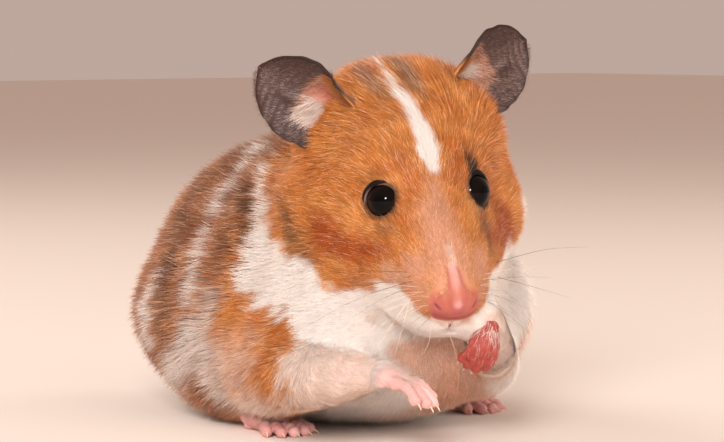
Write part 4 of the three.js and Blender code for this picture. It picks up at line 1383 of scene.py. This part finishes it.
def tipsOf(root, normal, way, length, rise, lean):
    # A tip lies a length away along the surface, and is then moved along the normal to its rise: from the
    # skin at 0 to the coat's outside at 1.
    end, depth = root + way * length[:, None] + lean, coatDepth(root)
    for _ in range(2):
        end = end + normal * np.clip(-depth * (1 - rise) - coatLevel(end), -2.5, 2.5)[:, None]
    return end


def makeCoat():
    # Roots at random, closer where tufts are short and narrow, in order along the body, and cut into equal
    # pieces.
    corners = netPoints[netTriangles]
    areas = np.linalg.norm(crossOf(corners), axis=1)
    middle, pieces = corners.mean(1), tuft["pieces"]
    weight = areas / (coatMeasure(middle, "width") * coatMeasure(middle, "length"))
    count = tuft["each"] * len(pieces)
    root = rootsOn(netPoints, netTriangles, weight, int(count * tuft["spare"]))
    root = root[~skipped(root)][:count]
    unwrap, share = unwrapped(root)
    order, count = np.argsort(share), len(root)
    root, unwrap = root[order], unwrap[order]
    normal = unit(slopeOf(fleshDistance, root, coat["slopeGap"]))
    swirl = ripple(root, 9.0, 31)[0] * 0.6 + ripple(root, 4.0, 32)[0] * 0.5
    stray = tuft["swirl"] * swirl + rng.normal(size=count) * tuft["stray"]
    way = turned(lieOf(root, normal), normal, stray)
    length = coatMeasure(root, "length") * rng.uniform(*tuft["lengths"], count)
    length = length * mix(0.7, 1.0, thinning(root))
    width = coatMeasure(root, "width") * rng.uniform(*tuft["widths"], count)
    mean, spread, *limits = tuft["rise"]
    rise = np.clip(rng.normal(mean, spread, count), *limits)
    wide, narrow = tuft["locks"]
    lean = (ripple(root, wide, 41)[1] * wide + 0.5 * ripple(root, narrow, 42)[1] * narrow) / 6.3
    lean -= normal * (lean * normal).sum(1)[:, None]
    lean *= (tuft["clump"] * np.minimum(1, length / 4))[:, None]
    marks = marksAt(root + normal * coatDepth(root)[:, None] + way * (tuft["colourAt"] * length)[:, None])
    chance = rng.random(count)
    for k, name in enumerate(pieces):
        own = slice(k * count // len(pieces), (k + 1) * count // len(pieces))
        end = tipsOf(root[own], normal[own], way[own], length[own], rise[own], lean[own])
        mesh = strandMesh(name, root[own] - normal[own] * tuft["sunk"], end, normal[own],
                          np.cross(way[own], normal[own]), width[own], marks[own], chance[own], unwrap[own])
        addPiece(name, mesh, [finishes["coat"]])
    print("coat:", count, "tufts")


makeCoat()

# Short hair on the ears, inside and out, on the backs of the paws and round the wrists.

# "lift" is the share of its length that a hair rises, and "marks" are its shares of white and peach.
# "along" and "across" are where on the right and the left ear it grows, "behind" whether it also grows on
# the back face, "crowd" how closely it keeps to the root, "tipward" how far it lies towards the tip, and
# "onFist" how many times fewer hairs the left hand has.
shortHair = {
    "ear": {"count": 17000, "length": (0.7, 1.6), "width": (0.03, 0.055), "lift": 0.09, "stray": 9,
            "marks": (0, 0), "tipward": 0.9, "finish": "earHair"},
    "earTuft": {"count": 460, "length": (1.8, 4.0), "width": (0.07, 0.12), "lift": 0.8, "stray": 12,
                "along": ((0.10, 0.34), (0.02, 0.16)), "across": ((-0.32, 0.12), (0.35, 0.95)),
                "behind": (0, 0), "crowd": 1, "marks": (0.7, 1), "tipward": 0.5, "finish": "coat"},
    "earFuzz": {"count": 1100, "length": (1.0, 2.4), "width": (0.04, 0.07), "lift": 0.25, "stray": 14,
                "along": ((0.04, 0.42), (0.04, 0.42)), "across": ((-0.3, 0.85), (-0.3, 0.85)),
                "behind": (0, 0), "crowd": 1, "marks": (0.15, 1), "tipward": 0.5, "finish": "coat"},
    "earFront": {"count": 1500, "length": (1.0, 2.4), "width": (0.06, 0.10), "lift": 0.45, "stray": 18,
                 "along": ((0, 0.36), (0, 0.20)), "across": ((0.88, 1.0), (0.88, 1.0)),
                 "behind": (1, 0), "crowd": 1.2, "marks": (0, 0), "tipward": 0.9, "finish": "coat"},
    "wrist": {"count": 1500, "length": (1.6, 3.8), "width": (0.04, 0.07), "lift": 0.22, "stray": 12,
              "marks": (0.95, 1), "onFist": 6, "finish": "coat"},
    "paw": {"count": 1600, "length": (1.0, 2.7), "width": (0.03, 0.05), "lift": 0.25, "stray": 9,
            "marks": (0.6, 1), "onFist": 16, "finish": "coat"},
}
shortHairSunk = 0.08


def addHairs(piece, kind, root, normal, way, chance):
    # Straight hairs: a tip is root + way length + normal (length lift), each with its own chance.
    own, count = shortHair[kind], len(root)
    length, width = rng.uniform(*own["length"], count), rng.uniform(*own["width"], count)
    way = turned(way, normal, rng.normal(size=count) * own["stray"])
    rise = length * own["lift"] * rng.uniform(0.5, 1.3, count)
    end = root + way * length[:, None] + normal * rise[:, None]
    white, peach = own["marks"]
    marks = np.tile([white, 0, 0, 0, peach], (count, 1))
    mesh = strandMesh(piece, root - shortHairSunk * normal, end, normal, np.cross(way, normal), width, marks,
                      chance, unwrapped(root)[0])
    addPiece(piece, mesh, [finishes[own["finish"]]])


def earRoots(own, index, upper):
    # Random places on one ear, as shares along and across, and 1 for those on the outer face. A kind with
    # its own part of the ear takes low + (high - low) random^crowd along it.
    t, s = rng.uniform(0.06, 0.955, own["count"]), rng.uniform(-0.95, 0.95, own["count"])
    outer = np.where(rng.random(own["count"]) < 0.55, 0.0, 1.0)
    if "along" in own:
        t = mix(*own["along"][index], rng.random(own["count"]) ** own["crowd"])
        s = upper * rng.uniform(*own["across"][index], own["count"])
        outer = outer * own["behind"][index]
    return t, s, outer


def earHairs(kind, index, side):
    # The hairs lie towards the ear's lower edge and its tip. The two ways over the surface are its steps
    # along and across, and their cross product is its normal.
    own, upper, step = shortHair[kind], side[0], 0.01
    t, s, outer = earRoots(own, index, upper)
    here, front = earSurface(s, t, outer, *side)
    ahead = unit(earSurface(s, t + step, outer, *side)[0] - here)
    beside = unit(earSurface(s + step, t, outer, *side)[0] - here)
    normal = unit(np.cross(beside, ahead))
    normal *= np.sign((normal * front * (1 - 2 * outer)[:, None]).sum(1))[:, None]
    way = turned(unit(ahead * own["tipward"] - upper * beside * 0.7), normal, 6 * ripple(here, 3.0, 51)[0])
    streak = 0.03 * ripple(here, 0.9, 52)[0] - 0.30 * ramp(upper * s, -0.1, 0.6)
    chance = np.clip(0.50 + streak + rng.normal(size=len(t)) * 0.24, 0, 1)
    kept = rng.random(len(t)) > 0.75 * (1 - ramp(np.hypot(t - 0.1, 0.4 * (upper * s - 0.3)), 0.15, 0.4))
    kept |= kind != "ear"
    addHairs(f"hair_{kind}_{('right', 'left')[index]}", kind, here[kept], normal[kept], way[kept],
             chance[kept])


def pawHairs(name, kind):
    # Roots in the middles of the paw's triangles, more on its back and fewer towards the digits.
    placed, triangles, local, ways = pawNets[name]
    along, corners, paw = local[triangles].mean(1)[:, 1], placed[triangles], paws[name][0]
    flat = crossOf(corners)
    area = np.linalg.norm(flat, axis=1)
    upward = (flat / np.maximum(area, 1e-9)[:, None]) @ ways[:, 2]
    weight = area * ramp(upward, -0.2, 0.5) * (1 - ramp(along, paw["palm"] - 1, paw["palm"] + 3.5))
    if kind == "wrist":
        weight = area * (1 - ramp(along, -0.5, 1.8))
    count = shortHair[kind]["count"] // (shortHair[kind]["onFist"] if paw is fist else 1)
    chosen = rng.choice(len(triangles), count, p=weight / weight.sum())
    normal = unit(flat[chosen])
    way = unit(ways[:, 1] - normal * (normal @ ways[:, 1])[:, None])
    chance = rng.uniform(0.5, 0.85, count)
    addHairs(f"hair_{kind}_{name}", kind, corners[chosen].mean(1), normal, way, chance)


for index, side in enumerate(ears["sides"]):
    for kind in ("ear", "earTuft", "earFuzz", "earFront"):
        earHairs(kind, index, side)
for name, kind in [(name, "paw") for name in paws] + [("fore_right", "wrist"), ("fore_left", "wrist")]:
    pawHairs(name, kind)
print("short hair made")

# Whiskers: long tapered hairs from the pads, some dark and some white, with a few on the chin.

whiskers = {
    "radius": 0.048, "tip": 0.01, "stations": 14, "columns": 5,
    "root": 0.8,  # how far a whisker starts under the coat
    "slim": 0.75,  # how thick those in rows are beside the drawn ones
    "drawn": [  # three places each in the head's frame, and 0 for dark or 1 for white
        ([(-7.0, -13.4, -7.0), (-14.9, -13.1, -8.3), (-23.2, -14.1, -9.5)], 0),
        ([(-7.8, -13.3, -8.4), (-16.7, -13.6, -10.8), (-28.8, -16.1, -15.1)], 0),
        ([(-7.4, -12.6, -6.5), (-11.2, -12.3, -6.1), (-14.6, -12.0, -5.6)], 0),
        ([(-8.1, -13.6, -9.7), (-12.3, -14.4, -10.8), (-17.6, -15.8, -13.0)], 0),
        ([(-7.6, -10.3, -4.4), (-7.1, -11.9, -4.6), (-6.4, -12.7, -5.3)], 0),
        ([(11.0, -8.7, -9.5), (20.3, -7.7, -8.6), (29.0, -6.7, -9.8)], 0),
        ([(11.8, -7.6, -13.8), (18.2, -8.2, -16.2), (26.4, -8.0, -20.2)], 0),
        ([(-7.1, -15.4, -10.6), (-9.3, -19.0, -14.3), (-11.6, -22.8, -18.2)], 1),
        ([(-7.7, -14.9, -12.1), (-11.3, -17.5, -15.2), (-15.1, -21.3, -18.0)], 1),
        ([(-3.3, -17.7, -15.6), (-4.5, -20.1, -17.4), (-6.1, -21.2, -19.3)], 1),
        ([(0.7, -16.6, -18.4), (0.8, -18.9, -19.4), (1.1, -20.3, -21.0)], 1),
        ([(4.8, -17.2, -14.8), (5.9, -20.1, -17.8), (8.0, -22.2, -20.9)], 1),
        ([(5.9, -16.6, -14.1), (8.6, -19.5, -16.3), (13.0, -20.6, -18.8)], 1),
    ],
    "rows": 4, "perRow": 4,  # more on each side, in rows over the pad
}


def rowWhisker(side, row, k):
    # One of a pad's rows: it starts on the pad, goes out along its way and droops by a share of its length.
    start = np.array([side * (3.6 + 0.9 * k), -17.4 + 1.25 * k, -8.6 - 1.35 * row + 0.2 * k])
    size = 6 + 2.4 * k + rng.uniform(-1, 2)
    way = unit(np.array([side * (0.75 + 0.1 * k), -0.28 + 0.07 * k + rng.normal() * 0.08,
                         0.22 - 0.26 * row + rng.normal() * 0.07]))
    droop = np.array([0, 0.10, -0.16]) * size
    line = [start, start + way * size * 0.5 + droop * 0.12, start + way * size + droop]
    return line, float(rng.random() < 0.8)


def makeWhiskers():
    # Smooth curves as thin tubes. Each root is moved on to the coat, and the move fades as (1 - share)^2
    # towards the tip.
    inRows = [rowWhisker(side, row, k) for side in (-1, 1) for row in range(whiskers["rows"])
              for k in range(whiskers["perRow"])]
    lines, kinds = zip(*whiskers["drawn"], *inRows)
    share = np.linspace(0, 1, whiskers["stations"])
    paths = fromHead([smoothPath(line, whiskers["stations"]) for line in lines])
    moved, ways = settle(paths[:, 0], fleshDistance, 3) - paths[:, 0], unit(paths[:, 3] - paths[:, 0])
    paths = paths + moved[:, None] * ((1 - share) ** 2)[None, :, None]
    paths[:, 0] -= ways * whiskers["root"]
    stout = np.where(np.arange(len(lines)) < len(whiskers["drawn"]), 1.0, whiskers["slim"])[:, None]
    radii = stout * mix(whiskers["radius"], whiskers["tip"], share**0.8)
    mesh = makeMesh("whiskers", *sweep(paths, radii, whiskers["columns"]))
    along = np.concatenate([np.repeat(share, whiskers["columns"]), [0, 1]])
    addColours(mesh, "strand", layerOf(np.tile(along, len(kinds)), np.repeat(kinds, len(along))))
    addPiece("whiskers", mesh, [finishes["whisker"]])


makeWhiskers()
print("whiskers made")

# The stage: a pale floor, soft light from the upper left, and the view.

stage = {
    "floor": 3.0, "floorTone": tone(242, 230, 220), "worldTone": tone(222, 196, 184), "world": 0.70,
    "camera": (-336.65, -404.91, 74.89), "azimuth": -40, "elevation": 4, "lens": 136.04, "sensor": 36,
    "target": (0, 5, -5),  # what the lights face, in the head's frame
    # name, place, size, power, colour; the glint shows in reflections only, and the others never do
    "lights": [("key", (-0.60, -0.52, 0.40), 0.36, 6.2, (1.0, 0.98, 0.965)),
               ("fill", (0.10, -0.80, 0.12), 0.60, 2.2, (1.0, 0.96, 0.93)),
               ("side", (0.66, -0.22, 0.28), 0.50, 1.6, (1.0, 0.95, 0.90)),
               ("rear", (-0.30, 0.60, 0.50), 0.50, 3.0, (1.0, 0.96, 0.92)),
               ("glint", (-0.325, -0.408, 0.205), 0.075, 2.2, (1, 1, 1))],
}


def makeFloor():  # one square
    half = stage["floor"]
    mesh = bpy.data.meshes.new("floor")
    corners = [(-half, -half, 0), (half, -half, 0), (half, half, 0), (-half, half, 0)]
    mesh.from_pydata(corners, [], [(0, 1, 2, 3)])
    material, _, _ = newFinish("floorPaper", gloss(0.8, 0.2) | {"Base Color": stage["floorTone"]})
    mesh.materials.append(material)
    addObject("floor", mesh)


def makeLights():  # an even sky, and round lamps that face the head
    world = bpy.context.scene.world or bpy.data.worlds.new("World")
    bpy.context.scene.world = world
    world.use_nodes = True
    sky = next(n for n in world.node_tree.nodes if n.type == "BACKGROUND")
    sky.inputs["Color"].default_value = stage["worldTone"]
    sky.inputs["Strength"].default_value = stage["world"]
    target = Vector(toRow(fromHead(stage["target"])))
    for name, place, size, power, colour in stage["lights"]:
        lamp = bpy.data.lights.new(name, "AREA")
        lamp.shape, lamp.size, lamp.energy, lamp.color = "DISK", size, power, colour
        holder = addObject(name, lamp)
        holder.location = place
        holder.visible_glossy = name == "glint"
        holder.visible_diffuse = name != "glint"
        holder.rotation_euler = (target - Vector(place)).to_track_quat("-Z", "Y").to_euler()


def makeCamera():  # looks along (-sin a cos e, cos a cos e, -sin e) for its azimuth a and elevation e
    lens = bpy.data.cameras.new("camera")
    lens.lens, lens.sensor_width, lens.clip_start = stage["lens"], stage["sensor"], 0.01
    camera = addObject("camera", lens)
    a, e = np.radians([stage["azimuth"], stage["elevation"]])
    back = Vector((np.sin(a) * np.cos(e), -np.cos(a) * np.cos(e), np.sin(e)))
    camera.location = toRow(stage["camera"])
    camera.rotation_euler = back.to_track_quat("Z", "Y").to_euler()
    bpy.context.scene.camera = camera


makeFloor()
makeLights()
makeCamera()
bpy.context.scene.view_settings.view_transform = "Standard"
